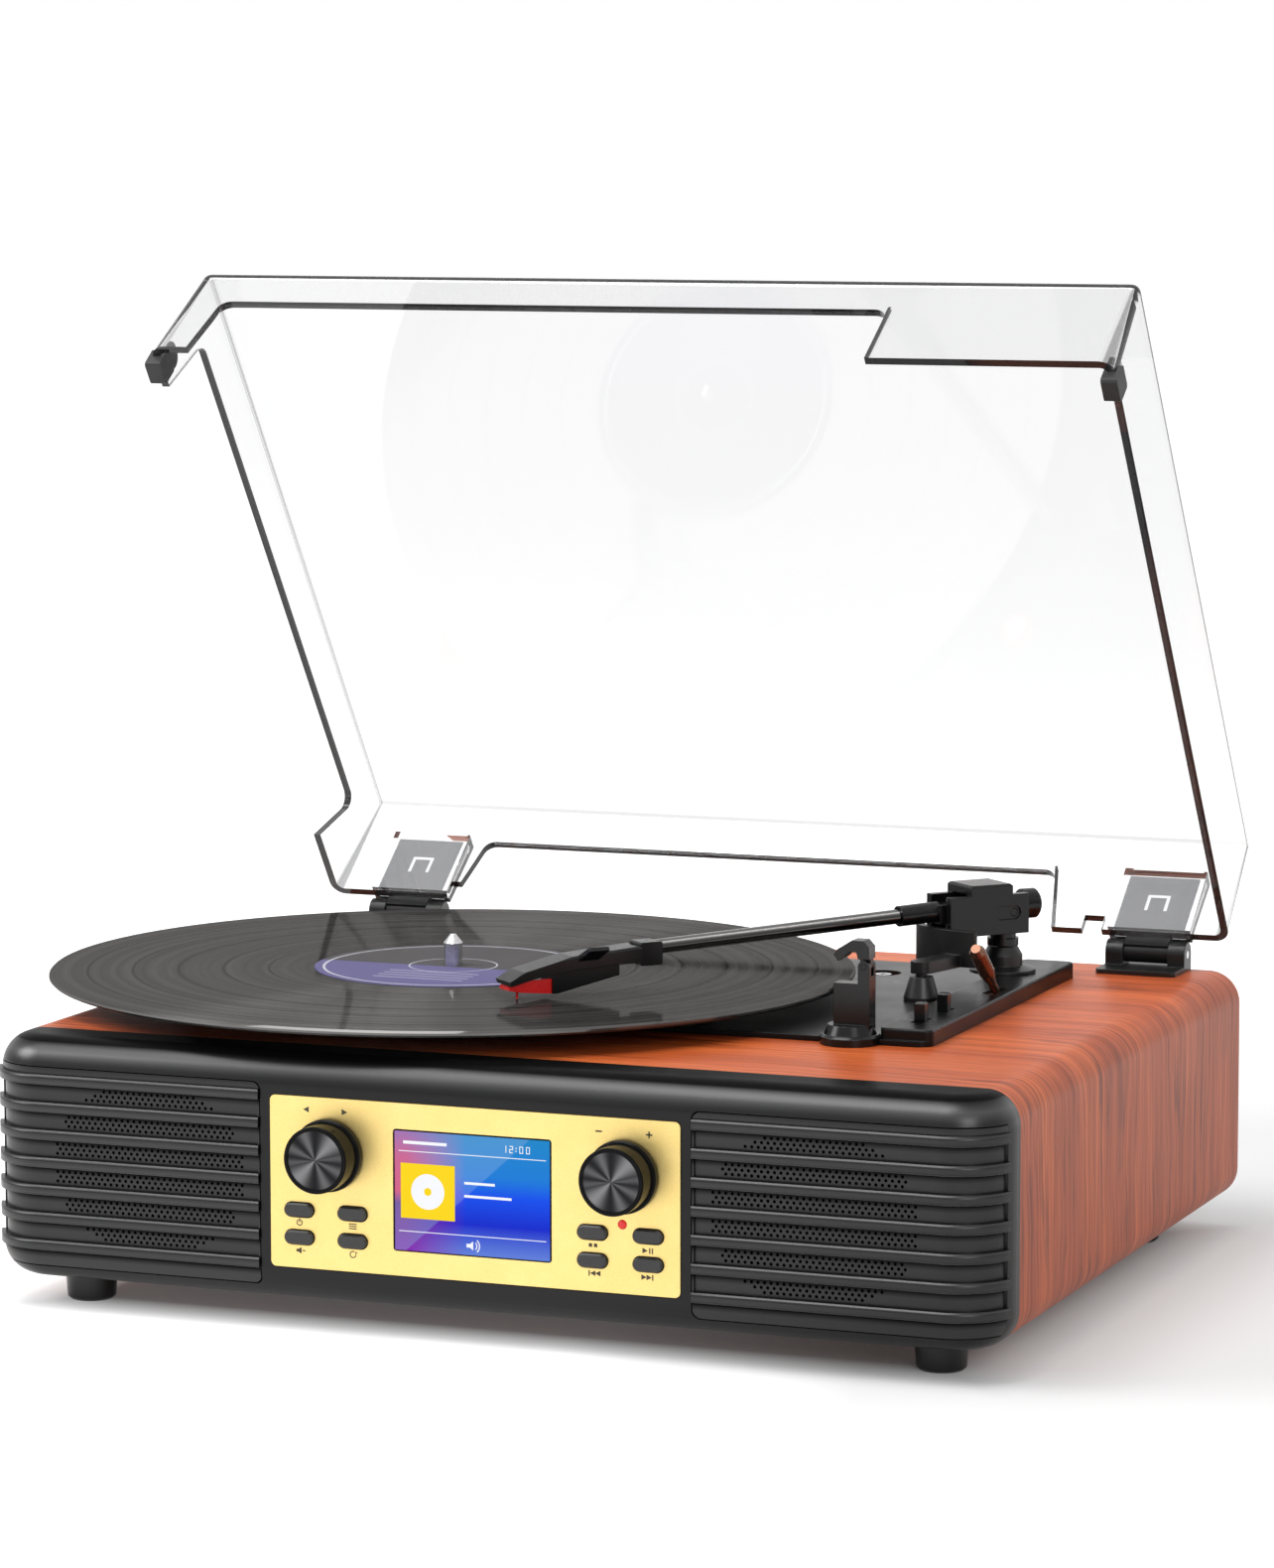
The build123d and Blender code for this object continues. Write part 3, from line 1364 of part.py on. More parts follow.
with BuildPart() as lid:
    with BuildSketch(lid_plane.offset(lid_rim_height)):
        with Locations((0, lid_middle)):
            RectangleRounded(lid_width, lid_length, lid_corner_radius)
    extrude(amount=lid_depth, taper=lid_taper)
    fillet(lid.faces().sort_by(lid_up)[-1].edges(), lid_edge_radius)
    with BuildSketch(lid_plane.offset(lid_rim_height)):
        with Locations((0, lid_middle)):
            RectangleRounded(
                lid_width - 2 * lid_wall, lid_length - 2 * lid_wall, lid_corner_radius - lid_wall
            )
    extrude(amount=lid_depth - lid_wall, taper=lid_taper, mode=Mode.SUBTRACT)
    with BuildSketch(lid_front_plane.offset(lid_front - 2 * lid_edge_radius)) as front_cut:
        with BuildLine():
            Polyline(
                (front_cut_left, cut_low),
                (front_cut_left + front_cut_slant, lid_rim_height + front_cut_depth),
                (front_cut_right, lid_rim_height + front_cut_depth),
                (front_cut_right, cut_low),
                close=True,
            )
        make_face()
        fillet(front_cut.vertices().group_by(Axis.Y)[-1], cut_corner_radius)
    extrude(amount=3 * lid_edge_radius, mode=Mode.SUBTRACT)
    with BuildSketch(lid_side_plane.offset(-lid_width / 2 - lid_wall)) as side_cut:
        with BuildLine():
            Polyline(
                (side_cut_tab - lid_front, cut_low),
                (side_cut_tab - lid_front + side_cut_slant, lid_rim_height + side_cut_depth),
                (-lid_rim_gap - side_cut_rear + side_cut_undercut, lid_rim_height + side_cut_depth),
                (-lid_rim_gap - side_cut_rear, cut_low),
                close=True,
            )
        make_face()
        fillet(side_cut.vertices().group_by(Axis.Y)[-1], cut_corner_radius)
    extrude(amount=4 * lid_wall, mode=Mode.SUBTRACT)
    with BuildSketch(lid_front_plane) as rear_cut:
        with BuildLine():
            Polyline(
                (rear_cut_left, cut_low),
                (rear_cut_left + rear_cut_slant, lid_rim_height + rear_cut_depth),
                (rear_cut_right - rear_cut_slant, lid_rim_height + rear_cut_depth),
                (rear_cut_right, cut_low),
                close=True,
            )
        make_face()
        fillet(rear_cut.vertices().group_by(Axis.Y)[-1], cut_corner_radius)
    extrude(amount=pocket_inner + 2 * lid_wall, mode=Mode.SUBTRACT)
    with BuildSketch(lid_front_plane):
        with Locations((0, lid_rim_height)):
            with GridLocations(hinge_spacing - 2 * notch_offset, 0, 2, 1):
                Rectangle(notch_width, 2 * notch_height)
    extrude(amount=pocket_inner + 2 * lid_wall, mode=Mode.SUBTRACT)
    with BuildSketch(lid_front_plane.offset(pocket_outer)):
        with Locations((0, (pocket_low + pocket_high) / 2)):
            with GridLocations(hinge_spacing, 0, 2, 1):
                Rectangle(pocket_width, pocket_high - pocket_low)
    extrude(amount=pocket_inner - pocket_outer)
    with BuildSketch(lid_front_plane.offset(tongue_near - seat_clearance / 2)):
        with Locations((0, (cut_low + tongue_high + seat_clearance) / 2)):
            with GridLocations(hinge_spacing, 0, 2, 1):
                Rectangle(tongue_width + 2 * seat_clearance, tongue_high + seat_clearance - cut_low)
    extrude(amount=tongue_thickness + seat_clearance, mode=Mode.SUBTRACT)
lid.part.label = "lid"
export_step(lid.part, "parts/lid.step")

# Hinge leaves held in the lid pockets
knuckle_radius = 3.9
knuckle_width = 17.6
hinge_pin_radius = 1.5
tongue_block_low = -1.0
with BuildPart() as hinge_leaves:
    with BuildSketch(lid_front_plane.offset(tongue_near)):
        with Locations((0, (pocket_low + tongue_high) / 2)):
            with GridLocations(hinge_spacing, 0, 2, 1):
                Rectangle(tongue_width, tongue_high - pocket_low)
    extrude(amount=tongue_thickness)
    with BuildSketch(lid_front_plane):
        with Locations((0, (tongue_block_low + pocket_low) / 2)):
            with GridLocations(hinge_spacing, 0, 2, 1):
                Rectangle(knuckle_width, pocket_low - tongue_block_low)
    extrude(amount=tongue_near + tongue_thickness)
    with BuildSketch(
        lid_side_plane.offset(-hinge_spacing / 2 - knuckle_width / 2),
        lid_side_plane.offset(hinge_spacing / 2 - knuckle_width / 2),
    ):
        Circle(knuckle_radius)
    extrude(amount=knuckle_width)
    with BuildSketch(
        lid_side_plane.offset(-hinge_spacing / 2 - knuckle_width / 2),
        lid_side_plane.offset(hinge_spacing / 2 - knuckle_width / 2),
    ):
        Circle(hinge_pin_radius + running_clearance)
    extrude(amount=knuckle_width, mode=Mode.SUBTRACT)
hinge_leaves.part.label = "hinge_leaves"
export_step(hinge_leaves.part, "parts/hinge_leaves.step")

# Hinge bases with two ears each, and their pins
ear_radius = 4.8
ear_thickness = 6.8
flange_front_reach = 19.0
flange_back_reach = 3.5
flange_front_y = hinge_y - flange_front_reach
flange_back_y = hinge_y + flange_back_reach
flange_thickness = 1.8
flange_corner_radius = 2.0
ear_spread = knuckle_width + ear_thickness + 2 * seat_clearance
ear_planes = [
    Plane.YZ.offset(cabinet_centre_x - hinge_spacing / 2 - ear_spread / 2 - ear_thickness / 2),
    Plane.YZ.offset(cabinet_centre_x - hinge_spacing / 2 + ear_spread / 2 - ear_thickness / 2),
    Plane.YZ.offset(cabinet_centre_x + hinge_spacing / 2 - ear_spread / 2 - ear_thickness / 2),
    Plane.YZ.offset(cabinet_centre_x + hinge_spacing / 2 + ear_spread / 2 - ear_thickness / 2),
]
with BuildPart() as hinge_bases:
    with BuildSketch(Plane.XY.offset(cabinet_top_z)):
        with Locations((cabinet_centre_x, (flange_front_y + flange_back_y) / 2)):
            with GridLocations(hinge_spacing, 0, 2, 1):
                RectangleRounded(
                    ear_spread + ear_thickness, flange_back_y - flange_front_y, flange_corner_radius
                )
    extrude(amount=flange_thickness)
    with BuildSketch(*ear_planes):
        with Locations((hinge_y, hinge_z)):
            Circle(ear_radius)
        with Locations((hinge_y, (cabinet_top_z + hinge_z) / 2)):
            Rectangle(2 * ear_radius, hinge_z - cabinet_top_z)
    extrude(amount=ear_thickness)
    with BuildSketch(*ear_planes):
        with Locations((hinge_y, hinge_z)):
            Circle(hinge_pin_radius + running_clearance)
    extrude(amount=ear_thickness, mode=Mode.SUBTRACT)
hinge_bases.part.label = "hinge_bases"
export_step(hinge_bases.part, "parts/hinge_bases.step")
pin_length = ear_spread + ear_thickness
with BuildPart() as hinge_pins:
    with BuildSketch(
        Plane.YZ.offset(cabinet_centre_x - hinge_spacing / 2 - pin_length / 2),
        Plane.YZ.offset(cabinet_centre_x + hinge_spacing / 2 - pin_length / 2),
    ):
        with Locations((hinge_y, hinge_z)):
            Circle(hinge_pin_radius)
    extrude(amount=pin_length)
hinge_pins.part.label = "hinge_pins"
export_step(hinge_pins.part, "parts/hinge_pins.step")

# Rubber bumpers clipped over the side rims near the front
bumper_length = 10.0
bumper_front_gap = 4.5
bumper_width = 6.2
bumper_outset = 1.4
bumper_drop = 5.0
bumper_grip = 4.5
bumper_pad_radius = 4.6
bumper_pad_thickness = 2.2
bumper_pad_height = 5.6
bumper_y = bumper_front_gap + bumper_length / 2 - lid_front
bumper_left_x = -lid_width / 2 - bumper_outset
with BuildPart() as lid_bumpers:
    with BuildSketch(
        lid_side_plane.offset(bumper_left_x), lid_side_plane.offset(-bumper_left_x - bumper_width)
    ):
        with Locations((bumper_y, lid_rim_height + (bumper_grip - bumper_drop) / 2)):
            RectangleRounded(bumper_length, bumper_grip + bumper_drop, bumper_outset)
    extrude(amount=bumper_width)
    with BuildSketch(
        lid_side_plane.offset(bumper_left_x + bumper_width - bumper_pad_thickness),
        lid_side_plane.offset(-bumper_left_x - bumper_width),
    ):
        with Locations((bumper_y, lid_rim_height + bumper_pad_height)):
            Circle(bumper_pad_radius)
    extrude(amount=bumper_pad_thickness)
    add(lid.part, mode=Mode.SUBTRACT)
lid_bumpers.part.label = "lid_bumpers"
export_step(lid_bumpers.part, "parts/lid_bumpers.step")

# Rear panel with power inlet, line jacks and screws
inlet_side_gap = 62.3
inlet_x = cabinet_centre_x + cabinet_width / 2 - inlet_side_gap
inlet_z = -70.0
inlet_radius = 4.6
inlet_bore_radius = 2.9
inlet_depth = 9.0
inlet_projection = 1.2
inlet_body_size = 12.0
inlet_body_depth = 12.0
inlet_pin_radius = 0.6
jack_side_gap = 89.7
jack_x = cabinet_centre_x - cabinet_width / 2 + jack_side_gap
jack_spacing = 20.0
jack_radius = 4.2
jack_bore_radius = 1.7
jack_projection = 9.0
jack_body_depth = 8.0
jack_body_radius = 5.8
rear_panel_back_y = rear_panel_front_y + rear_panel_thickness
with BuildPart() as rear_panel:
    with BuildSketch(Plane.XZ.offset(-rear_panel_back_y)):
        with Locations((cabinet_centre_x, cabinet_centre_z)):
            RectangleRounded(
                inner_width - 2 * seat_clearance,
                inner_height - 2 * seat_clearance,
                inner_corner_radius,
            )
            with GridLocations(inner_width - batten_size, panel_screw_spacing_z, 2, 2):
                Circle(panel_screw_radius + running_clearance, mode=Mode.SUBTRACT)
        with Locations((inlet_x, inlet_z)):
            Circle(inlet_radius + seat_clearance, mode=Mode.SUBTRACT)
        with Locations((jack_x, inlet_z)):
            with GridLocations(jack_spacing, 0, 2, 1):
                Circle(jack_radius + seat_clearance, mode=Mode.SUBTRACT)
    extrude(amount=rear_panel_thickness)
rear_panel.part.label = "rear_panel"
export_step(rear_panel.part, "parts/rear_panel.step")
with BuildPart() as panel_screws:
    with BuildSketch(Plane.XZ.offset(-rear_panel_back_y)):
        with Locations((cabinet_centre_x, cabinet_centre_z)):
            with GridLocations(inner_width - batten_size, panel_screw_spacing_z, 2, 2):
                Circle(panel_screw_radius)
    extrude(amount=rear_panel_thickness + panel_screw_length - seat_clearance)
    with BuildSketch(Plane.XZ.offset(-rear_panel_back_y)):
        with Locations((cabinet_centre_x, cabinet_centre_z)):
            with GridLocations(inner_width - batten_size, panel_screw_spacing_z, 2, 2):
                Circle(panel_screw_head_radius)
    extrude(amount=-panel_screw_head_height)
panel_screws.part.label = "panel_screws"
export_step(panel_screws.part, "parts/panel_screws.step")
with BuildPart() as dc_inlet:
    with BuildSketch(Plane.XZ.offset(-rear_panel_front_y)):
        with Locations((inlet_x, inlet_z)):
            Rectangle(inlet_body_size, inlet_body_size)
    extrude(amount=inlet_body_depth)
    with BuildSketch(Plane.XZ.offset(-rear_panel_back_y - inlet_projection)):
        with Locations((inlet_x, inlet_z)):
            Circle(inlet_radius)
    extrude(amount=rear_panel_thickness + inlet_projection)
    with BuildSketch(Plane.XZ.offset(-rear_panel_back_y - inlet_projection)):
        with Locations((inlet_x, inlet_z)):
            Circle(inlet_bore_radius)
            Circle(inlet_pin_radius, mode=Mode.SUBTRACT)
    extrude(amount=inlet_depth, mode=Mode.SUBTRACT)
dc_inlet.part.label = "dc_inlet"
export_step(dc_inlet.part, "parts/dc_inlet.step")
with BuildPart() as audio_jacks:
    with BuildSketch(Plane.XZ.offset(-rear_panel_front_y)):
        with Locations((jack_x, inlet_z)):
            with GridLocations(jack_spacing, 0, 2, 1):
                Circle(jack_body_radius)
    extrude(amount=jack_body_depth)
    with BuildSketch(Plane.XZ.offset(-rear_panel_back_y - jack_projection)):
        with Locations((jack_x, inlet_z)):
            with GridLocations(jack_spacing, 0, 2, 1):
                Circle(jack_radius)
    extrude(amount=rear_panel_thickness + jack_projection)
    with BuildSketch(Plane.XZ.offset(-rear_panel_back_y - jack_projection)):
        with Locations((jack_x, inlet_z)):
            with GridLocations(jack_spacing, 0, 2, 1):
                Circle(jack_bore_radius)
    extrude(amount=jack_projection, mode=Mode.SUBTRACT)
audio_jacks.part.label = "audio_jacks"
export_step(audio_jacks.part, "parts/audio_jacks.step")

# Main board on standoffs above the cabinet floor
main_board_width = 110.0
main_board_length = 80.0
main_board_thickness = 1.6
main_board_y = 70.0
standoff_height = 5.0
standoff_radius = 3.0
standoff_inset = 6.0
transformer_width = 34.0
transformer_length = 26.0
transformer_height = 20.0
capacitor_radius = 6.0
capacitor_height = 18.0
heat_sink_width = 30.0
heat_sink_length = 10.0
heat_sink_height = 16.0
main_board_z = inner_floor_z + standoff_height
component_z = main_board_z + main_board_thickness
with BuildPart() as main_board:
    with BuildSketch(Plane(origin=(cabinet_centre_x, main_board_y, inner_floor_z))):
        with GridLocations(
            main_board_width - 2 * standoff_inset, main_board_length - 2 * standoff_inset, 2, 2
        ):
            Circle(standoff_radius)
    extrude(amount=standoff_height)
    with BuildSketch(Plane(origin=(cabinet_centre_x, main_board_y, main_board_z))):
        Rectangle(main_board_width, main_board_length)
    extrude(amount=main_board_thickness)
    with BuildSketch(Plane(origin=(cabinet_centre_x, main_board_y, component_z))):
        with Locations((-main_board_width / 4, main_board_length / 5)):
            Rectangle(transformer_width, transformer_length)
    extrude(amount=transformer_height)
    with BuildSketch(Plane(origin=(cabinet_centre_x, main_board_y, component_z))):
        with Locations((main_board_width / 4, main_board_length / 5)):
            with GridLocations(3 * capacitor_radius, 0, 2, 1):
                Circle(capacitor_radius)
    extrude(amount=capacitor_height)
    with BuildSketch(Plane(origin=(cabinet_centre_x, main_board_y, component_z))):
        with Locations((0, -main_board_length / 4)):
            Rectangle(heat_sink_width, heat_sink_length)
    extrude(amount=heat_sink_height)
main_board.part.label = "main_board"
export_step(main_board.part, "parts/main_board.step")
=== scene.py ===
import math
import bpy
from mathutils import Matrix, Vector


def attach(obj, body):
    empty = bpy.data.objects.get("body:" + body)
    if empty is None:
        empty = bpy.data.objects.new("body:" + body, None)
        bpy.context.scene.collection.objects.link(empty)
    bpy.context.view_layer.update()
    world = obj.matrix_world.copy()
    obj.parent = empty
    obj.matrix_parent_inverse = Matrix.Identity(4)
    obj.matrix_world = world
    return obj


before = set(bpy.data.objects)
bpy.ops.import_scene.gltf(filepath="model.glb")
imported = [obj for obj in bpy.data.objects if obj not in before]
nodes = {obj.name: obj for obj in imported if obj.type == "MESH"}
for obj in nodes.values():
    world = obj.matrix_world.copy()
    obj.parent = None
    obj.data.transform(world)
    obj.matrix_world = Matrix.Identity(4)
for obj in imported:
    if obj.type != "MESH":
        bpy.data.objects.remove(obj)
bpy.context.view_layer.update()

# Shared places of the object, in metres
CENTRE_X = 0.0713
TOP_Z = -0.0105
FLOOR_Z = -0.1093
PLATE_FRONT_Y = -0.1503

# Shared colours
WHITE = (1.0, 1.0, 1.0)
BLACK = (0.004, 0.004, 0.0042)
SOFT_BLACK = (0.006, 0.006, 0.0063)


class Tree:
    """Short ways to add nodes to one node tree."""

    def __init__(self, tree):
        self.tree = tree

    def node(self, kind, **values):
        made = self.tree.nodes.new(kind)
        for key, value in values.items():
            setattr(made, key, value)
        return made

    def link(self, source, target):
        self.tree.links.new(source, target)

    def put(self, target, value):
        if hasattr(value, "is_output"):
            self.link(value, target)
        else:
            target.default_value = value

    def split(self, source):
        made = self.node("ShaderNodeSeparateXYZ")
        self.link(source, made.inputs[0])
        return made.outputs[0], made.outputs[1], made.outputs[2]

    def place(self, kind="Object"):
        return self.node("ShaderNodeTexCoord").outputs[kind]

    def math(self, operation, a, b=0.0, c=0.0):
        made = self.node("ShaderNodeMath", operation=operation)
        for index, value in enumerate((a, b, c)):
            self.put(made.inputs[index], value)
        return made.outputs[0]

    def plus(self, a, b):
        return self.math("ADD", a, b)

    def minus(self, a, b):
        return self.math("SUBTRACT", a, b)

    def scaled(self, value, factor):
        return self.math("MULTIPLY", value, factor)

    def size(self, value):
        return self.math("ABSOLUTE", value)

    def hypot(self, a, b):
        return self.math("SQRT", self.plus(self.math("POWER", a, 2.0), self.math("POWER", b, 2.0)))

    def below(self, value, limit):
        return self.math("LESS_THAN", value, limit)

    def above(self, value, limit):
        return self.math("GREATER_THAN", value, limit)

    def near(self, value, middle, width):
        return self.below(self.size(self.minus(value, middle)), width)

    def all(self, first, *others):
        """Product of masks."""
        for mask in others:
            first = self.math("MULTIPLY", first, mask)
        return first

    def any(self, first, *others):
        """Greatest of masks."""
        for mask in others:
            first = self.math("MAXIMUM", first, mask)
        return first

    def span(self, value, low, high, start, end):
        made = self.node("ShaderNodeMapRange")
        self.link(value, made.inputs[0])
        for index, number in enumerate((low, high, start, end), 1):
            made.inputs[index].default_value = number
        return made.outputs[0]

    def add(self, a, b):
        made = self.node("ShaderNodeAddShader")
        self.link(a, made.inputs[0])
        self.link(b, made.inputs[1])
        return made.outputs[0]

    def choose(self, factor, a, b):
        made = self.node("ShaderNodeMixShader")
        for index, source in enumerate((factor, a, b)):
            self.link(source, made.inputs[index])
        return made.outputs[0]


class Paint(Tree):
    """One node material with a Principled shader."""

    def __init__(self, name, colour, rough, metal=0.0, **sockets):
        self.material = bpy.data.materials.new(name)
        self.material.use_nodes = True
        super().__init__(self.material.node_tree)
        self.bsdf = self.tree.nodes["Principled BSDF"]
        self.end = self.tree.nodes["Material Output"].inputs[0]
        self.set("Base Color", (*colour, 1.0))
        self.set("Roughness", rough)
        self.set("Metallic", metal)
        for socket, value in sockets.items():
            self.set(socket.replace("_", " "), value)

    def set(self, socket, value):
        self.bsdf.inputs[socket].default_value = value

    def feed(self, socket, source):
        self.link(source, self.bsdf.inputs[socket])

    def coords(self):
        return self.split(self.place())

    def vector(self, x, y, z):
        made = self.node("ShaderNodeCombineXYZ")
        for index, value in enumerate((x, y, z)):
            self.put(made.inputs[index], value)
        return made.outputs[0]

    def noise(self, vector=None, scale=1.0, detail=4.0, rough=0.55, distortion=0.0):
        made = self.node("ShaderNodeTexNoise")
        self.link(self.place() if vector is None else vector, made.inputs["Vector"])
        made.inputs["Scale"].default_value = scale
        made.inputs["Detail"].default_value = detail
        made.inputs["Roughness"].default_value = rough
        made.inputs["Distortion"].default_value = distortion
        return made.outputs["Fac"]

    def ramp(self, value, *stops):
        made = self.node("ShaderNodeValToRGB")
        self.link(value, made.inputs[0])
        elements = made.color_ramp.elements
        while len(elements) < len(stops):
            elements.new(0.5)
        for element, (position, colour) in zip(elements, stops):
            element.position = position
            element.color = (*colour, 1.0)
        return made.outputs[0]

    def grey_ramp(self, value, *stops):
        return self.ramp(value, *((position, (level, level, level)) for position, level in stops))

    def mix(self, factor, a, b, blend="MIX"):
        made = self.node("ShaderNodeMix", data_type="RGBA", blend_type=blend)
        self.put(made.inputs[0], factor)
        for index, value in ((6, a), (7, b)):
            self.put(made.inputs[index], value if hasattr(value, "is_output") else (*value, 1.0))
        return made.outputs[2]

    def bump(self, height, strength, distance=0.0002, edge=0.0):
        made = self.node("ShaderNodeBump")
        if edge:
            soft = self.node("ShaderNodeBevel", samples=6)
            soft.inputs["Radius"].default_value = edge
            self.link(soft.outputs[0], made.inputs["Normal"])
        made.inputs["Strength"].default_value = strength
        made.inputs["Distance"].default_value = distance
        self.link(height, made.inputs["Height"])
        self.feed("Normal", made.outputs[0])
        return made.outputs[0]

    def to(self, *names):
        for name in names:
            slots = nodes[name].data.materials
            if len(slots):
                for index in range(len(slots)):
                    slots[index] = self.material
            else:
                slots.append(self.material)


def speckled(name, colour, rough, spread, scale, strength, metal=0.0, edge=0.0, **sockets):
    """A moulded or turned surface: fine grain in colour, gloss and height."""
    paint = Paint(name, colour, rough, metal, **sockets)
    grain = paint.noise(scale=scale, detail=3.0)
    low = tuple(max(0.0, part * (1 - spread)) for part in colour)
    high = tuple(part * (1 + spread) for part in colour)
    paint.feed("Base Color", paint.ramp(grain, (0.3, low), (0.7, high)))
    smear = paint.noise(scale=38.0, detail=2.0)
    paint.feed("Roughness", paint.span(smear, 0.3, 0.7, rough * 0.88, rough * 1.12))
    paint.bump(grain, strength, edge=edge)
    return paint


# Wood film: grain along the top and down the sides
wood = Paint("wood_film", (0.42, 0.09, 0.03), 0.38, Specular_IOR_Level=0.2)
wx, wy, wz = wood.coords()
off = wood.minus(wx, CENTRE_X)
run = wood.plus(off, wood.all(wood.math("SIGN", off), wood.minus(TOP_Z, wz)))


def grain_at(along, across, cross, seed, *settings):
    """Noise drawn out along the grain; along and across are its counts per metre."""
    return wood.noise(wood.vector(wood.scaled(run, along), wood.scaled(cross, across), seed), 1.0, *settings)


lane = wood.plus(wy, wood.scaled(grain_at(9.0, 16.0, wy, 2.0, 3.0), 0.022))
broad = grain_at(3.0, 30.0, lane, 0.0, 8.0, 0.62, 0.5)
fine = grain_at(14.0, 900.0, lane, 0.3, 5.0, 0.65, 0.3)
streak = grain_at(16.0, 210.0, lane, 4.1, 4.0, 0.6, 0.5)
patch = grain_at(14.0, 26.0, lane, 7.3, 3.0)
tone = wood.ramp(broad, (0.3, (0.36, 0.058, 0.014)), (0.5, (0.6, 0.118, 0.027)), (0.7, (0.84, 0.2, 0.05)))
pores = wood.ramp(fine, (0.38, (0.5, 0.43, 0.4)), (0.58, WHITE))
veins = wood.ramp(streak, (0.5, WHITE), (0.62, (0.32, 0.22, 0.18)))
veined = wood.mix(wood.span(patch, 0.45, 0.62, 0.0, 1.0), WHITE, veins)
wood.feed("Base Color", wood.mix(0.85, wood.mix(0.7, tone, pores, "MULTIPLY"), veined, "MULTIPLY"))
wood.feed("Roughness", wood.span(fine, 0.3, 0.7, 0.44, 0.34))
wood.bump(fine, 0.05)
wood.to("cabinet_shell")

# Black mouldings
speckled("black_satin", BLACK, 0.34, 0.25, 2600.0, 0.05, edge=0.0004, Specular_IOR_Level=0.45).to(
    "rear_panel", "feet", "tonearm_base", "lift_base", "lift_arc", "hinge_bases"
)
speckled("deck_black", BLACK, 0.3, 0.25, 3200.0, 0.06, edge=0.0005, Specular_IOR_Level=0.2).to("deck_plate")
speckled("gloss_black", BLACK, 0.2, 0.2, 1500.0, 0.02, edge=0.0004, Specular_IOR_Level=0.3).to(
    "arm_rest", "tonearm_yoke", "pivot_block", "headshell", "cartridge", "counterweight", "arm_clip",
    "speed_switch", "autostop_switch", "dc_inlet", "display_panel",
)

# Front bezel: the same black, its reflectivity painted by height: a painted dark line at the top edge, then a
# painted highlight band along its upper rounding
BEZEL_ROUNDING = 0.012
bezel = Paint("bezel_black", BLACK, 0.34)
bezel_z = bezel.coords()[2]
depth = bezel.span(bezel.minus(TOP_Z, bezel_z), 0.0, BEZEL_ROUNDING, 0.0, 1.0)
# painted dark top line and painted highlight band, set through the reflectivity
painted_light_band = bezel.grey_ramp(depth, (0.14, 0.02), (0.42, 0.95), (0.72, 0.45), (1.0, 0.25))
bezel.feed("Specular IOR Level", painted_light_band)
grain = bezel.noise(scale=2600.0, detail=3.0)
bezel.feed("Base Color", bezel.ramp(grain, (0.3, (0.003, 0.003, 0.0032)), (0.7, (0.005, 0.005, 0.0052))))
bezel.bump(grain, 0.05, edge=0.0004)
bezel.to("front_bezel")

# Arm tube: dark metal, with a painted highlight strip along its upper side
TUBE_DARK = (0.05, 0.048, 0.046)
tube = Paint("tube_black", (0.06, 0.058, 0.056), 0.14, 1.0, Coat_Weight=1.0, Coat_Roughness=0.04)
upward = tube.split(tube.place("Normal"))[2]
# painted highlight: lighter base colour where the surface faces upward
painted_gleam = tube.ramp(upward, (0.45, TUBE_DARK), (0.68, (0.6, 0.58, 0.57)), (0.8, (0.12, 0.115, 0.11)),
                  (1.0, TUBE_DARK))
grain = tube.noise(scale=900.0, detail=3.0)
tube.feed("Base Color", tube.mix(0.3, painted_gleam, tube.grey_ramp(grain, (0.3, 0.85), (0.7, 1.0)), "MULTIPLY"))
tube.bump(grain, 0.01)
tube.to("arm_tube")

# Grilles: black panels with staggered rows of small holes between the ribs, sizes in millimetres
RIB_PITCH = 10.02
HOLE_PITCH = 2.35
LINE_STEP = 1.7
FIELD_HALF_WIDTH = 37.6
FIELD_HALF_HEIGHT = 31.2
FIELD_MIDDLE = 3.0  # grooves below the first rib
RIB_HALF = 0.18  # share of the rib pitch
FIRST_RIB_Z = -0.0249  # metres
GROOVE_FLOOR_Y = (-0.1494, -0.1486)  # metres


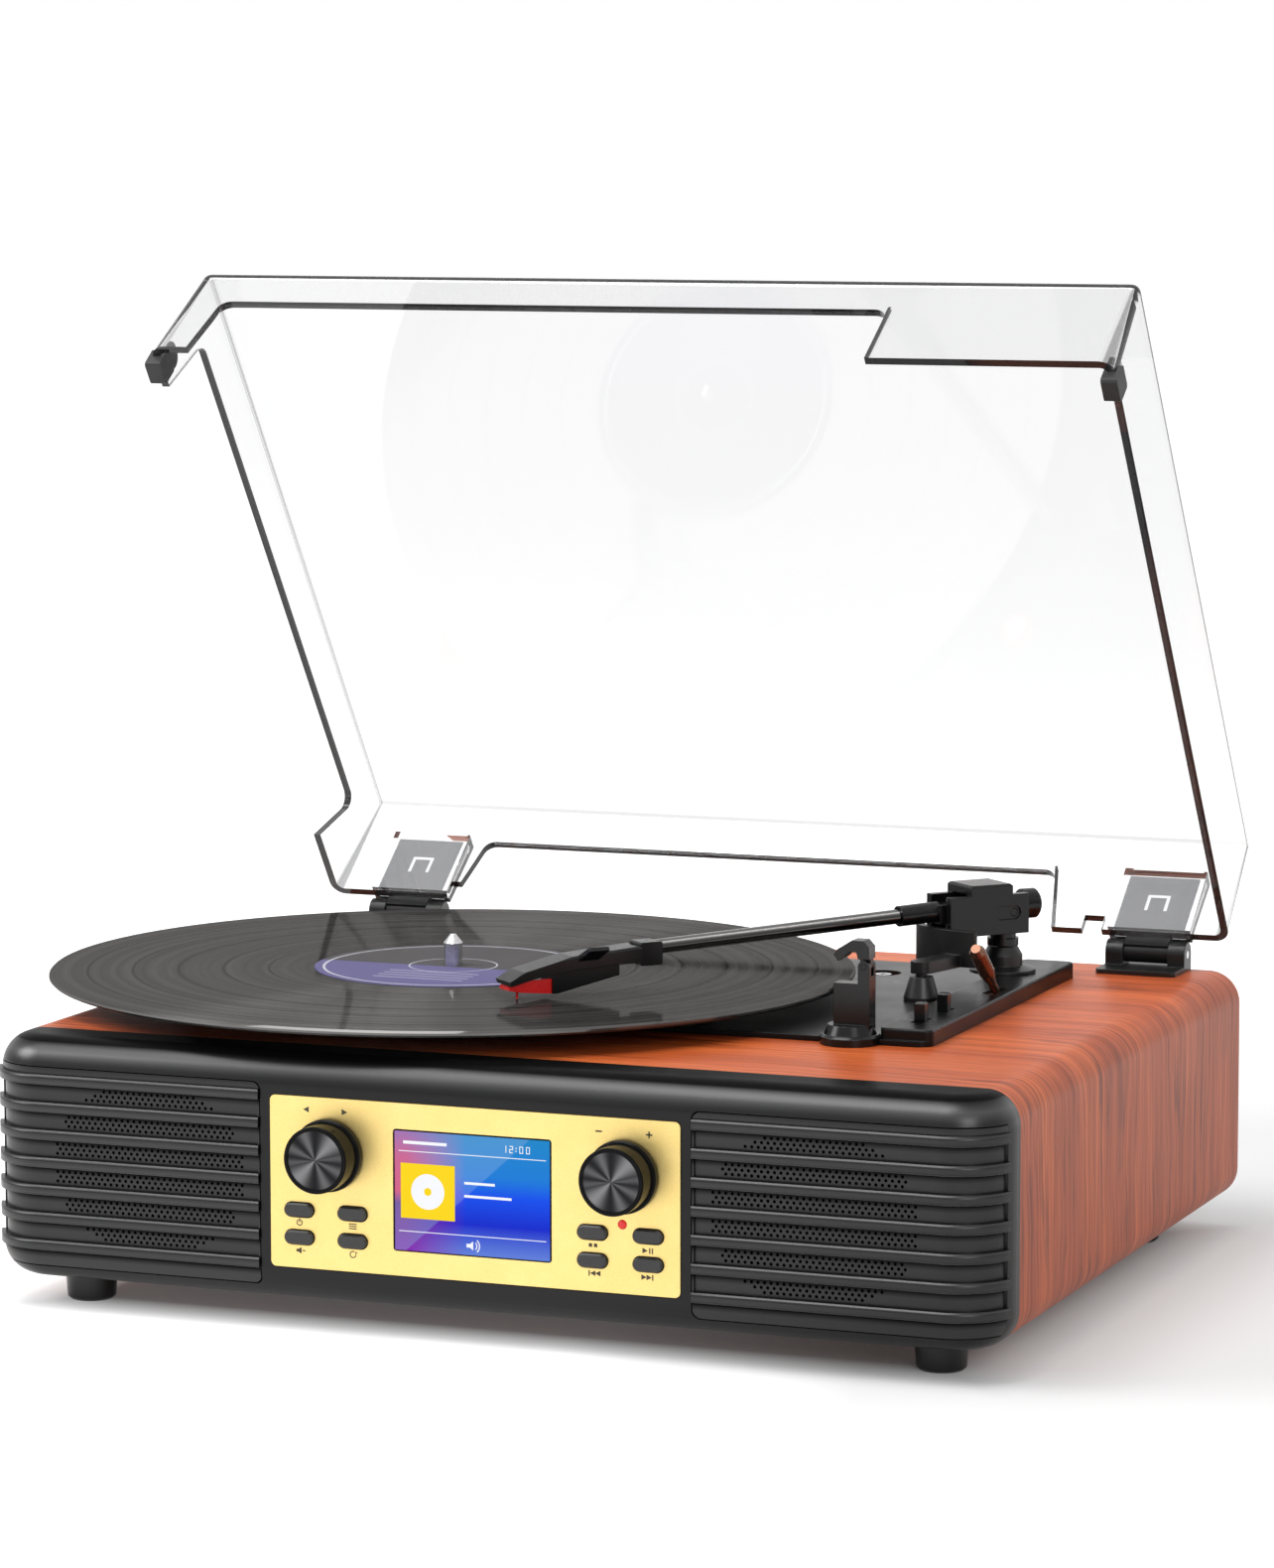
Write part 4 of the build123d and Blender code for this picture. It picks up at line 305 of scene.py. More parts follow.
def grille(name, middle):
    paint = Paint(name + "_black", SOFT_BLACK, 0.36)
    x, y, z = paint.coords()
    turn = paint.scaled(paint.minus(FIRST_RIB_Z, z), 1000.0 / RIB_PITCH)
    fall = paint.math("FRACT", turn)

    # Holes: three staggered lines in each groove, inside an oval field, painted as near-black dots: the
    # holes' pattern with painted shade inside them
    deep = paint.scaled(paint.minus(fall, 0.5), RIB_PITCH / LINE_STEP)
    line = paint.math("ROUND", deep)
    shift = paint.scaled(paint.size(line), 0.5)
    along = paint.plus(paint.scaled(paint.minus(x, middle), 1000.0 / HOLE_PITCH), shift)
    step = paint.math("ROUND", along)
    across_x = paint.scaled(paint.minus(along, step), HOLE_PITCH)
    across_z = paint.scaled(paint.minus(deep, line), LINE_STEP)
    dot = paint.span(paint.hypot(across_x, across_z), 0.48, 0.62, 1.0, 0.0)
    spot_x = paint.scaled(paint.minus(step, shift), HOLE_PITCH / FIELD_HALF_WIDTH)
    level = paint.plus(paint.math("FLOOR", turn), 0.5)
    level = paint.plus(level, paint.scaled(line, LINE_STEP / RIB_PITCH))
    spot_z = paint.scaled(paint.minus(level, FIELD_MIDDLE), RIB_PITCH / FIELD_HALF_HEIGHT)
    in_field = paint.below(paint.hypot(spot_x, spot_z), 1.0)
    rows = paint.below(paint.size(deep), 1.5)
    flat = paint.all(paint.above(y, GROOVE_FLOOR_Y[0]), paint.below(y, GROOVE_FLOOR_Y[1]))
    hole = paint.all(dot, in_field, rows, flat)

    # Ribs: rounded crests by bump, with a painted highlight along their edges, and a painted shade line under
    # each
    from_rib = paint.math("MINIMUM", fall, paint.minus(1.0, fall))
    crest = paint.below(from_rib, RIB_HALF - 0.0015)
    crest_round_and_highlight = paint.all(paint.math("POWER", paint.span(from_rib, 0.0, RIB_HALF, 0.0, 1.0), 3.0), crest)
    shade = paint.all(paint.span(fall, 0.24, 0.46, 0.0, 1.0), paint.above(fall, RIB_HALF - 0.01))
    # painted shade under each rib and painted highlight on the crest edges, set through the reflectivity
    painted_light_gloss = paint.span(paint.any(shade, crest), 0.0, 1.0, 0.03, 0.46)
    painted_light_gloss = paint.plus(painted_light_gloss, paint.scaled(crest_round_and_highlight, 0.6))

    grain = paint.noise(scale=2400.0, detail=3.0)
    skin = paint.ramp(grain, (0.3, BLACK), (0.7, (0.007, 0.007, 0.0073)))
    # near-black dots: painted shade inside the holes
    paint.feed("Base Color", paint.mix(hole, skin, (0.0004, 0.0004, 0.0004)))
    paint.feed("Roughness", paint.span(hole, 0.0, 1.0, 0.34, 0.95))
    paint.feed("Specular IOR Level", paint.all(paint.minus(1.0, hole), painted_light_gloss))
    sunk = paint.plus(crest_round_and_highlight, paint.scaled(hole, 0.12))
    paint.bump(paint.minus(paint.scaled(grain, 0.012), sunk), 1.0, 0.0011)
    paint.to(name)


grille("grille_left", -0.0539)
grille("grille_right", 0.1965)

# Gold plate with a fine sparkle
gold = Paint("gold_metal", (0.88, 0.66, 0.25), 0.36, 0.9)
flakes = gold.noise(scale=5200.0, detail=2.0)
haze = gold.noise(scale=60.0, detail=3.0)
sparkle = gold.ramp(flakes, (0.35, (0.72, 0.52, 0.17)), (0.7, (0.98, 0.79, 0.34)))
cloud = gold.ramp(haze, (0.3, (0.85, 0.63, 0.22)), (0.7, (0.92, 0.71, 0.28)))
gold.feed("Base Color", gold.mix(0.5, sparkle, cloud))
gold.feed("Roughness", gold.span(flakes, 0.3, 0.7, 0.38, 0.52))
gold.bump(flakes, 0.12)
gold.to("control_plate")

# Knobs: black sides and a spun dark face with painted highlight wedges, given as angle, sharpness and weight
KNOB_X = {"tune_knob": 0.0171, "volume_knob": 0.128}
KNOB_Z = -0.0446
KNOB_FACE_RADIUS = 0.01039
KNOB_FACE_Y = -0.1626
PAINTED_HIGHLIGHT_WEDGES = ((0.79, 14.0, 1.0), (2.0, 40.0, 0.55), (2.75, 60.0, 0.45), (0.15, 90.0, 0.35))
for knob, knob_x in KNOB_X.items():
    paint = Paint(knob + "_black", SOFT_BLACK, 0.25, IOR=1.15)
    x, y, z = paint.coords()
    dx = paint.minus(x, knob_x)
    dz = paint.minus(z, KNOB_Z)
    reach = paint.hypot(dx, dz)
    angle = paint.math("ARCTAN2", dz, dx)
    painted_shine = 0.0
    for turn, sharp, weight in PAINTED_HIGHLIGHT_WEDGES:
        painted_wedge = paint.size(paint.math("COSINE", paint.minus(angle, turn)))
        painted_shine = paint.any(paint.scaled(paint.math("POWER", painted_wedge, sharp), weight), painted_shine)
    face = paint.all(paint.below(reach, KNOB_FACE_RADIUS), paint.below(y, KNOB_FACE_Y))
    rings = paint.noise(paint.vector(paint.scaled(reach, 4200.0), 0.0, 0.0), 1.0, 2.0)
    # painted highlight: the face's base colour lightened along the wedges
    spun_face_with_painted_shine = paint.mix(painted_shine, (0.012, 0.012, 0.013), (0.17, 0.17, 0.174))
    paint.feed("Base Color", paint.mix(face, SOFT_BLACK, spun_face_with_painted_shine))
    paint.feed("Metallic", paint.scaled(face, 0.85))
    paint.feed("Roughness", paint.plus(0.2, paint.all(face, paint.scaled(rings, 0.25))))
    paint.bump(paint.all(rings, face), 0.15)
    paint.to(knob)

# Buttons, lamp, lever, stylus, small metal and rubber
BUTTONS = ("standby", "menu", "mute", "repeat", "mode", "play", "previous", "next")
speckled("button_grey", (0.02, 0.02, 0.02), 0.36, 0.2, 1800.0, 0.04).to(
    *("button_" + word for word in BUTTONS)
)
speckled("lamp_red", (0.6, 0.012, 0.01), 0.2, 0.1, 700.0, 0.01, Emission_Color=(1.0, 0.02, 0.015, 1.0),
         Emission_Strength=0.3).to("power_led")
speckled("copper_metal", (0.2, 0.095, 0.06), 0.24, 0.15, 1200.0, 0.03, 0.8).to("cue_lever")
speckled("red_plastic", (0.72, 0.012, 0.012), 0.2, 0.1, 800.0, 0.02, Coat_Weight=0.4).to("stylus")
speckled("steel", (0.62, 0.62, 0.63), 0.2, 0.06, 1400.0, 0.03, 1.0).to(
    "spindle", "panel_screws", "deck_screw", "platter_bearing", "motor", "hinge_pins", "speakers"
)
speckled("light_metal", (0.55, 0.55, 0.56), 0.3, 0.06, 900.0, 0.03, 1.0).to(
    "platter", "motor_pulley", "encoders", "audio_jacks"
)
speckled("rubber", (0.014, 0.014, 0.014), 0.55, 0.3, 1500.0, 0.1).to("lid_bumpers", "drive_belt")
speckled("felt", (0.02, 0.02, 0.02), 0.9, 0.4, 2500.0, 0.3, Sheen_Weight=0.2).to("slip_mat", "speaker_cones")
speckled("board", (0.02, 0.12, 0.05), 0.4, 0.3, 300.0, 0.05).to("control_board", "main_board")

# Record: grooved black disc with gaps between the tracks
FIRST_TRACK = 0.0606
TRACK_WIDTH = 0.0169
GROOVES_INNER = 0.0605
GROOVES_OUTER = 0.1465
vinyl = Paint("vinyl", (0.006, 0.006, 0.006), 0.3, Specular_IOR_Level=0.0)
reach = vinyl.hypot(*vinyl.coords()[:2])
grooves = vinyl.noise(vinyl.vector(vinyl.scaled(reach, 2600.0), 0.0, 0.0), 1.0, 3.0)
bands = vinyl.noise(vinyl.vector(vinyl.scaled(reach, 210.0), 3.0, 0.0), 1.0, 2.0)
played = vinyl.all(vinyl.above(reach, GROOVES_INNER), vinyl.below(reach, GROOVES_OUTER))
turns = vinyl.math("FRACT", vinyl.scaled(vinyl.minus(reach, FIRST_TRACK), 1.0 / TRACK_WIDTH))
gap = vinyl.all(vinyl.near(turns, 0.5, 0.035), played)
vinyl.feed("Base Color", vinyl.ramp(bands, (0.35, (0.005, 0.005, 0.005)), (0.65, (0.012, 0.0118, 0.0115))))
relief = vinyl.bump(vinyl.all(grooves, vinyl.minus(played, gap)), 0.1, 0.0001)

# its soft sheen around the grooves
sheen = vinyl.node("ShaderNodeBsdfAnisotropic")
sheen_colour = vinyl.ramp(bands, (0.35, (0.03, 0.029, 0.028)), (0.65, (0.052, 0.05, 0.048)))
vinyl.link(vinyl.mix(gap, sheen_colour, (0.008, 0.0078, 0.0076)), sheen.inputs["Color"])
vinyl.link(vinyl.span(grooves, 0.3, 0.7, 0.24, 0.34), sheen.inputs["Roughness"])
sheen.inputs["Anisotropy"].default_value = 0.8
ring_tangent = vinyl.node("ShaderNodeTangent", direction_type="RADIAL", axis="Z")
vinyl.link(ring_tangent.outputs[0], sheen.inputs["Tangent"])
vinyl.link(relief, sheen.inputs["Normal"])

# and the clearer mirror of its flat face
mirror = vinyl.node("ShaderNodeBsdfAnisotropic")
mirror.inputs["Color"].default_value = (0.07, 0.068, 0.066, 1.0)
vinyl.link(vinyl.span(bands, 0.3, 0.7, 0.04, 0.08), mirror.inputs["Roughness"])
vinyl.link(vinyl.add(vinyl.add(vinyl.bsdf.outputs[0], sheen.outputs[0]), mirror.outputs[0]), vinyl.end)
vinyl.to("record")

# Label: dark rear half, blue-violet front half, pale rings and plain bars
FRONT_HALF_Y = -0.004
RINGS = ((0.0485, 0.0005), (0.0165, 0.0003))  # radius and half width
BAR_STEP = 0.0052
BARS_Y = (-0.0345, -0.0135)
BAR_HALF_LENGTH = 0.018
label = Paint("label_paper", (0.05, 0.05, 0.1), 0.7, Specular_IOR_Level=0.15)
label_x, label_y = label.coords()[:2]
reach = label.hypot(label_x, label_y)
fibre = label.noise(scale=1400.0, detail=4.0)
front = label.below(label_y, FRONT_HALF_Y)
base = label.mix(front, (0.07, 0.066, 0.068), (0.115, 0.105, 0.23))
rings = label.any(*(label.near(reach, *ring) for ring in RINGS))
base = label.mix(rings, base, (0.5, 0.5, 0.55))
lines = label.near(label.math("FRACT", label.scaled(label_y, 1.0 / BAR_STEP)), 0.5, 0.1)
rows = label.all(label.below(label_y, BARS_Y[1]), label.above(label_y, BARS_Y[0]))
bars = label.all(lines, rows, label.near(label_x, 0.0, BAR_HALF_LENGTH))
base = label.mix(bars, base, (0.42, 0.42, 0.52))
label.feed("Base Color", label.mix(0.25, base, label.grey_ramp(fibre, (0.3, 0.6), (0.7, 1.0)), "MULTIPLY"))
label.feed("Roughness", label.span(fibre, 0.3, 0.7, 0.64, 0.78))
label.bump(fibre, 0.05)
label.to("record_label")

# Clear lid that lets the light through, and its hinge leaves
LID_SIN = 0.81412
LID_COS = 0.58070
HINGE_Y = 0.151
HINGE_Z = -0.0043
LID_CLEAR = (0.9, 0.901, 0.903)
WALL_TOP = 0.0345  # above this lies the lid's plate
REAR_CORNER = -0.014
FRONT_CORNER = -0.278
REAR_WALL = -0.0125
FRONT_WALL = -0.28
CUT_HALF_WIDTH = 0.1365
FRONT_CUT_END = 0.0959
REAR_CUT_END = 0.1186
REAR_CUT_SLOPE = 0.2
STRIP_HALF = 0.0006


def lid_axes(paint):
    """Places seen from the hinge: across, towards the rear, and up from the rim."""
    x, y, z = paint.coords()
    dy = paint.minus(y, HINGE_Y)
    dz = paint.minus(z, HINGE_Z)
    rear = paint.minus(paint.scaled(dy, LID_COS), paint.scaled(dz, LID_SIN))
    up = paint.plus(paint.scaled(dy, LID_SIN), paint.scaled(dz, LID_COS))
    return paint.minus(x, CENTRE_X), rear, up


def cut_faces(paint, dx, rear, up):
    """Masks of the lid: its sawn rims with the ends of the cut-outs, and its rounded edges."""
    nx, ny, nz = paint.split(paint.place("Normal"))
    facing = paint.plus(paint.scaled(ny, LID_SIN), paint.scaled(nz, LID_COS))
    along = paint.minus(paint.scaled(ny, LID_COS), paint.scaled(nz, LID_SIN))
    slant = paint.size(nx)
    rims = paint.below(facing, -0.4)
    ends = paint.all(paint.above(slant, 0.8), paint.below(paint.size(dx), CUT_HALF_WIDTH))
    between = paint.all(paint.below(rear, REAR_CORNER), paint.above(rear, FRONT_CORNER))
    sides = paint.all(paint.above(paint.size(along), 0.6), between)
    front_end = paint.all(paint.near(dx, FRONT_CUT_END, STRIP_HALF), paint.below(rear, FRONT_WALL))
    lean = paint.minus(REAR_CUT_END, paint.scaled(up, REAR_CUT_SLOPE))
    rear_end = paint.all(paint.near(dx, lean, STRIP_HALF), paint.above(rear, REAR_WALL))
    cut = paint.all(paint.below(up, WALL_TOP), paint.any(rims, front_end, rear_end, ends, sides))
    fold = paint.all(paint.above(facing, 0.2), paint.below(facing, 0.95))
    corner = paint.all(paint.above(slant, 0.25), paint.below(slant, 0.95))
    return cut, paint.any(fold, corner)


lid = Paint("clear_lid", LID_CLEAR, 0.02, Transmission_Weight=1.0, IOR=1.49)
dust = lid.noise(scale=12.0, detail=3.0)
lid.feed("Roughness", lid.span(dust, 0.3, 0.7, 0.008, 0.02))
rim_painted_dark, bend_painted_grey = cut_faces(lid, *lid_axes(lid))
# Painted shade on the clear edges: sawn rims near black and mostly opaque, rounded edges tinted grey
clear_with_painted_edges = lid.mix(bend_painted_grey, LID_CLEAR, (0.4, 0.4, 0.405))
lid.feed("Base Color", lid.mix(rim_painted_dark, clear_with_painted_edges, (0.03, 0.03, 0.031)))
lid.feed("Transmission Weight", lid.span(rim_painted_dark, 0.0, 1.0, 1.0, 0.2))
ray = lid.node("ShaderNodeLightPath").outputs
through = lid.node("ShaderNodeBsdfTransparent")
through.inputs[0].default_value = (0.96, 0.962, 0.965, 1.0)
lid.link(lid.choose(ray["Is Shadow Ray"], lid.bsdf.outputs[0], through.outputs[0]), lid.end)
lid.to("lid")

LEAF_X = 0.1555  # either side of the middle
LEAF_ROOT = 0.0056
SIGN_HEIGHT = 0.0205
SIGN_HALF_WIDTH = 0.0045
SIGN_HALF_HEIGHT = 0.0042
SIGN_INNER_HALF_WIDTH = 0.0032
SIGN_INNER_TOP = 0.0233
leaf = Paint("grey_plastic", (0.17, 0.17, 0.175), 0.4, Specular_IOR_Level=0.3)
dx, _, height = lid_axes(leaf)
grain = leaf.noise(scale=1800.0, detail=3.0)
aside = leaf.size(leaf.minus(leaf.size(dx), LEAF_X))
sign_outer = leaf.all(leaf.below(aside, SIGN_HALF_WIDTH), leaf.near(height, SIGN_HEIGHT, SIGN_HALF_HEIGHT))
sign_inner = leaf.all(leaf.below(aside, SIGN_INNER_HALF_WIDTH), leaf.below(height, SIGN_INNER_TOP))
sign = leaf.all(sign_outer, leaf.minus(1.0, sign_inner))
skin = leaf.ramp(grain, (0.3, (0.15, 0.15, 0.154)), (0.7, (0.19, 0.19, 0.195)))
skin = leaf.mix(leaf.below(height, LEAF_ROOT), skin, SOFT_BLACK)
leaf.feed("Base Color", leaf.mix(sign, skin, (0.7, 0.7, 0.7)))
leaf.feed("Roughness", leaf.span(grain, 0.3, 0.7, 0.36, 0.46))
leaf.bump(grain, 0.05)
leaf.to("hinge_leaves")

# Screen: a plain colour field behind glass
SCREEN_X = (0.0415, 0.1009)
SCREEN_Z = (-0.0769, -0.034)
SCREEN_FACE_Y = -0.1502
screen = Paint("screen_glass", (0.004, 0.004, 0.005), 0.18, Specular_IOR_Level=0.05, Emission_Strength=1.0)
x, y, z = screen.coords()
across = screen.span(x, *SCREEN_X, 0.0, 1.0)
rise = screen.span(z, *SCREEN_Z, 0.0, 1.0)
left_side = screen.ramp(rise, (0.0, (0.24, 0.01, 0.42)), (0.4, (0.16, 0.006, 0.24)), (0.5, (0.75, 0.02, 0.1)),
                        (0.78, (0.68, 0.04, 0.16)), (1.0, (0.36, 0.09, 0.36)))
right_side = screen.ramp(rise, (0.0, (0.12, 0.22, 0.7)), (0.26, (0.003, 0.02, 0.6)),
                         (0.5, (0.003, 0.075, 0.84)), (0.66, (0.008, 0.2, 0.68)), (1.0, (0.01, 0.24, 0.58)))
field = screen.mix(screen.grey_ramp(across, (0.08, 0.0), (0.46, 1.0)), left_side, right_side)
sweep = screen.minus(rise, screen.minus(screen.scaled(across, 1.25), 0.1))
field = screen.mix(screen.scaled(screen.span(sweep, 0.0, 0.02, 0.0, 1.0), 0.2), field, (0.3, 0.55, 0.85))
edge = screen.any(screen.size(screen.minus(across, 0.5)), screen.size(screen.minus(rise, 0.5)))
lit = screen.all(screen.below(edge, 0.492), screen.below(y, SCREEN_FACE_Y))
screen.feed("Emission Color", screen.mix(lit, (0.0, 0.0, 0.0), field))
screen.to("display_window")


# Printed marks: flat shapes a hair in front of the surface that carries them
def flat_piece(name, polygons, y, paint, body="base"):
    """One mesh of flat polygons, given as lists of (x, z) in metres, facing the front."""
    points = []
    faces = []
    for polygon in polygons:
        faces.append(list(range(len(points), len(points) + len(polygon))))
        points.extend((px, y, pz) for px, pz in polygon)
    mesh = bpy.data.meshes.new(name)
    mesh.from_pydata(points, [], faces)
    mesh.materials.append(paint.material)
    piece = bpy.data.objects.new(name, mesh)
    bpy.context.scene.collection.objects.link(piece)
    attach(piece, body)


def bar(x, z, width, height):
    w, h = width / 2, height / 2
    return [(x - w, z - h), (x + w, z - h), (x + w, z + h), (x - w, z + h)]


def arrow(x, z, size, way):
    """A triangle that points to the right, or to the left where way is -1."""
    half = size / 2
    return [(x - way * half, z - half), (x + way * half, z), (x - way * half, z + half)][::way]


def arc(x, z, outer, inner, start, end, steps=24):
    """A ring or part of a ring as one strip of quads, angles in degrees."""
    strip = []
    for index in range(steps):
        a = math.radians(start + (end - start) * index / steps)
        b = math.radians(start + (end - start) * (index + 1) / steps)
        corners = ((inner, a), (outer, a), (outer, b), (inner, b))
        strip.append([(x + r * math.cos(t), z + r * math.sin(t)) for r, t in corners])
    return strip


MARK_Y = PLATE_FRONT_Y - 0.00003
ink = speckled("dark_ink", (0.06, 0.045, 0.02), 0.5, 0.2, 2000.0, 0.02)
marks = [
    # arrows, minus and plus over the knobs
    arrow(0.0081, -0.0291, 0.0022, -1), arrow(0.0229, -0.0292, 0.0022, 1),
    bar(0.1186, -0.0296, 0.0024, 0.0006),
    bar(0.1372, -0.0297, 0.0024, 0.0006), bar(0.1372, -0.0297, 0.0006, 0.0024),
    # power, list, quiet and repeat signs at the left buttons
    bar(0.0053, -0.0688, 0.0005, 0.0014),
    *(bar(0.0258, z, 0.003, 0.0004) for z in (-0.0688, -0.0696, -0.0704)),
    bar(0.0044, -0.0796, 0.0008, 0.001),
    [(0.0048, -0.0801), (0.006, -0.0808), (0.006, -0.0784), (0.0048, -0.0791)],
    bar(0.0069, -0.0796, 0.0012, 0.0004),
    arrow(0.0272, -0.079, 0.0009, 1),
    # mode, play, back and forward signs at the right buttons
    bar(0.1155, -0.0696, 0.0013, 0.0013), bar(0.1174, -0.0696, 0.0013, 0.0013),
    arrow(0.1357, -0.0701, 0.002, 1),
    bar(0.1374, -0.0701, 0.0005, 0.002), bar(0.1384, -0.0701, 0.0005, 0.002),
    bar(0.115, -0.0794, 0.0005, 0.002), arrow(0.1163, -0.0794, 0.002, -1), arrow(0.1182, -0.0794, 0.002, -1),
    arrow(0.1353, -0.0794, 0.002, 1), arrow(0.1372, -0.0794, 0.002, 1), bar(0.1385, -0.0794, 0.0005, 0.002),
]
marks += arc(0.0053, -0.0696, 0.0012, 0.0008, 120.0, 420.0)
marks += arc(0.0258, -0.0796, 0.0013, 0.0009, 60.0, 360.0)
flat_piece("plate_marks", marks, MARK_Y, ink)

# Screen content: a plain clock, bars, a disc sign and a sound sign
SEGMENTS = {"0": "abcdef", "1": "bc", "2": "abged"}
CLOCK = ((0.0835, "1"), (0.086, "2"), (0.0898, "0"), (0.0923, "0"))
CLOCK_Z = -0.0382
CLOCK_HEIGHT = 0.0022
DISC = (0.0545, -0.0553)
SOUND = (0.0713, -0.0732)
SCREEN_Y = PLATE_FRONT_Y - 0.00004


def digit(x, z, size, sign):
    """Seven-segment figure, size is its height."""
    w, h, t = size * 0.26, size / 2, size * 0.13
    shapes = {
        "a": bar(x, z + h, 2 * w, t), "g": bar(x, z, 2 * w, t), "d": bar(x, z - h, 2 * w, t),
        "f": bar(x - w, z + h / 2, t, h + t), "b": bar(x + w, z + h / 2, t, h + t),
        "e": bar(x - w, z - h / 2, t, h + t), "c": bar(x + w, z - h / 2, t, h + t),
    }
    return [shapes[part] for part in SEGMENTS[sign]]


def glowing(name, colour, glow):
    return speckled(name, colour, 0.6, 0.05, 900.0, 0.01, Emission_Color=(*glow, 1.0), Emission_Strength=0.9,
                    Specular_IOR_Level=0.0)


pale = glowing("screen_white", (0.1, 0.1, 0.1), (0.95, 0.97, 1.0))
warm = glowing("screen_yellow", (0.1, 0.08, 0.01), (1.0, 0.7, 0.012))
content = [
    bar(0.0713, -0.0413, 0.0555, 0.00028), bar(0.0713, -0.0697, 0.0555, 0.00028),
    bar(0.0535, -0.0382, 0.0165, 0.0011),
    bar(0.0741, -0.0512, 0.0115, 0.0009), bar(0.0772, -0.0558, 0.0178, 0.0009),
    bar(0.0697, -0.0732, 0.0012, 0.0013),
    [(0.0702, -0.0737), (0.0716, -0.0748), (0.0716, -0.0716), (0.0702, -0.0727)],
    bar(0.0879, -0.0387, 0.0004, 0.0004), bar(0.0879, -0.0377, 0.0004, 0.0004),
]
for place, sign in CLOCK:
    content += digit(place, CLOCK_Z, CLOCK_HEIGHT, sign)
content += arc(*SOUND, 0.0019, 0.0015, -45.0, 45.0, 8) + arc(*SOUND, 0.0029, 0.0025, -50.0, 50.0, 10)
flat_piece("screen_bars", content, SCREEN_Y, pale)
flat_piece("screen_square", [bar(*DISC, 0.0205, 0.0195)], MARK_Y, warm)
flat_piece("screen_disc", arc(*DISC, 0.0063, 0.0014, 0.0, 360.0, 48), SCREEN_Y, pale)

# Backdrop: white to the eye and through the lid, shaded for reflections, weaker as a light
AMBIENT = 0.42
world = bpy.data.worlds.new("studio")
bpy.context.scene.world = world
world.use_nodes = True
sky = Tree(world.node_tree)
ambient = sky.tree.nodes["Background"]
ambient.inputs[0].default_value = (1.0, 1.0, 1.0, 1.0)
ambient.inputs[1].default_value = AMBIENT
seen = sky.node("ShaderNodeBackground")
seen.inputs[0].default_value = (1.0, 1.0, 1.0, 1.0)
ray = sky.node("ShaderNodeLightPath").outputs
straight = sky.any(ray["Is Camera Ray"], ray["Is Transmission Ray"])
heading = sky.split(sky.place("Generated"))
overhead = sky.span(heading[2], 0.1, 0.7, 0.4, 1.0)
behind = sky.span(heading[1], -0.2, 0.6, 0.4, 1.0)
sky.link(sky.any(overhead, behind, straight), seen.inputs[1])
shown = sky.choose(sky.any(straight, ray["Is Glossy Ray"]), ambient.outputs[0], seen.outputs[0])
sky.link(shown, sky.tree.nodes["World Output"].inputs[0])

# Floor: pale, with its shadow, and a painted glow towards white that is shaped around the object: faint under
# it and rising just outside its footprint, stronger in front of it and away from it
FLOOR_REACH = 12.0
FOOTPRINT_HALF_X = 0.19
FOOTPRINT_HALF_Y = 0.15
SHADOW_X = 0.22
SHADOW_Y = 0.1
floor_mesh = bpy.data.meshes.new("studio_floor")
floor_corners = [(x * FLOOR_REACH, y * FLOOR_REACH, FLOOR_Z) for x, y in ((-1, -1), (1, -1), (1, 1), (-1, 1))]
floor_mesh.from_pydata(floor_corners, [], [(0, 1, 2, 3)])
floor = bpy.data.objects.new("studio_floor", floor_mesh)
bpy.context.scene.collection.objects.link(floor)
ground = Paint("studio_white", (0.6, 0.6, 0.6), 0.9, Specular_IOR_Level=0.0)
mottle = ground.noise(scale=3.0, detail=2.0)
ground.feed("Base Color", ground.grey_ramp(mottle, (0.3, 0.595), (0.7, 0.605)))
x, y = ground.coords()[:2]
# painted glow: its shape around the object sets how dark the shadow looks
painted_glow_ahead = ground.all(ground.span(y, -0.19, -0.145, 1.1, 0.75), ground.span(x, 0.1, 0.28, 1.0, 0.0))
beside = ground.minus(ground.size(ground.minus(x, CENTRE_X)), FOOTPRINT_HALF_X)
along = ground.minus(ground.size(y), FOOTPRINT_HALF_Y)
clear_of = ground.span(ground.any(beside, along), -0.03, 0.008, 0.1, 1.0)
away = ground.hypot(ground.minus(x, SHADOW_X), ground.minus(y, SHADOW_Y))
painted_glow = ground.all(ground.any(ground.span(away, 0.25, 0.75, 0.3, 0.85), painted_glow_ahead), clear_of)
ray = ground.node("ShaderNodeLightPath").outputs
looked_at = ground.any(ray["Is Camera Ray"], ray["Is Transmission Ray"], ray["Is Glossy Ray"])
glow = ground.node("ShaderNodeEmission")
glow.inputs[0].default_value = (1.0, 1.0, 1.0, 1.0)
ground.link(ground.all(painted_glow, looked_at), glow.inputs[1])
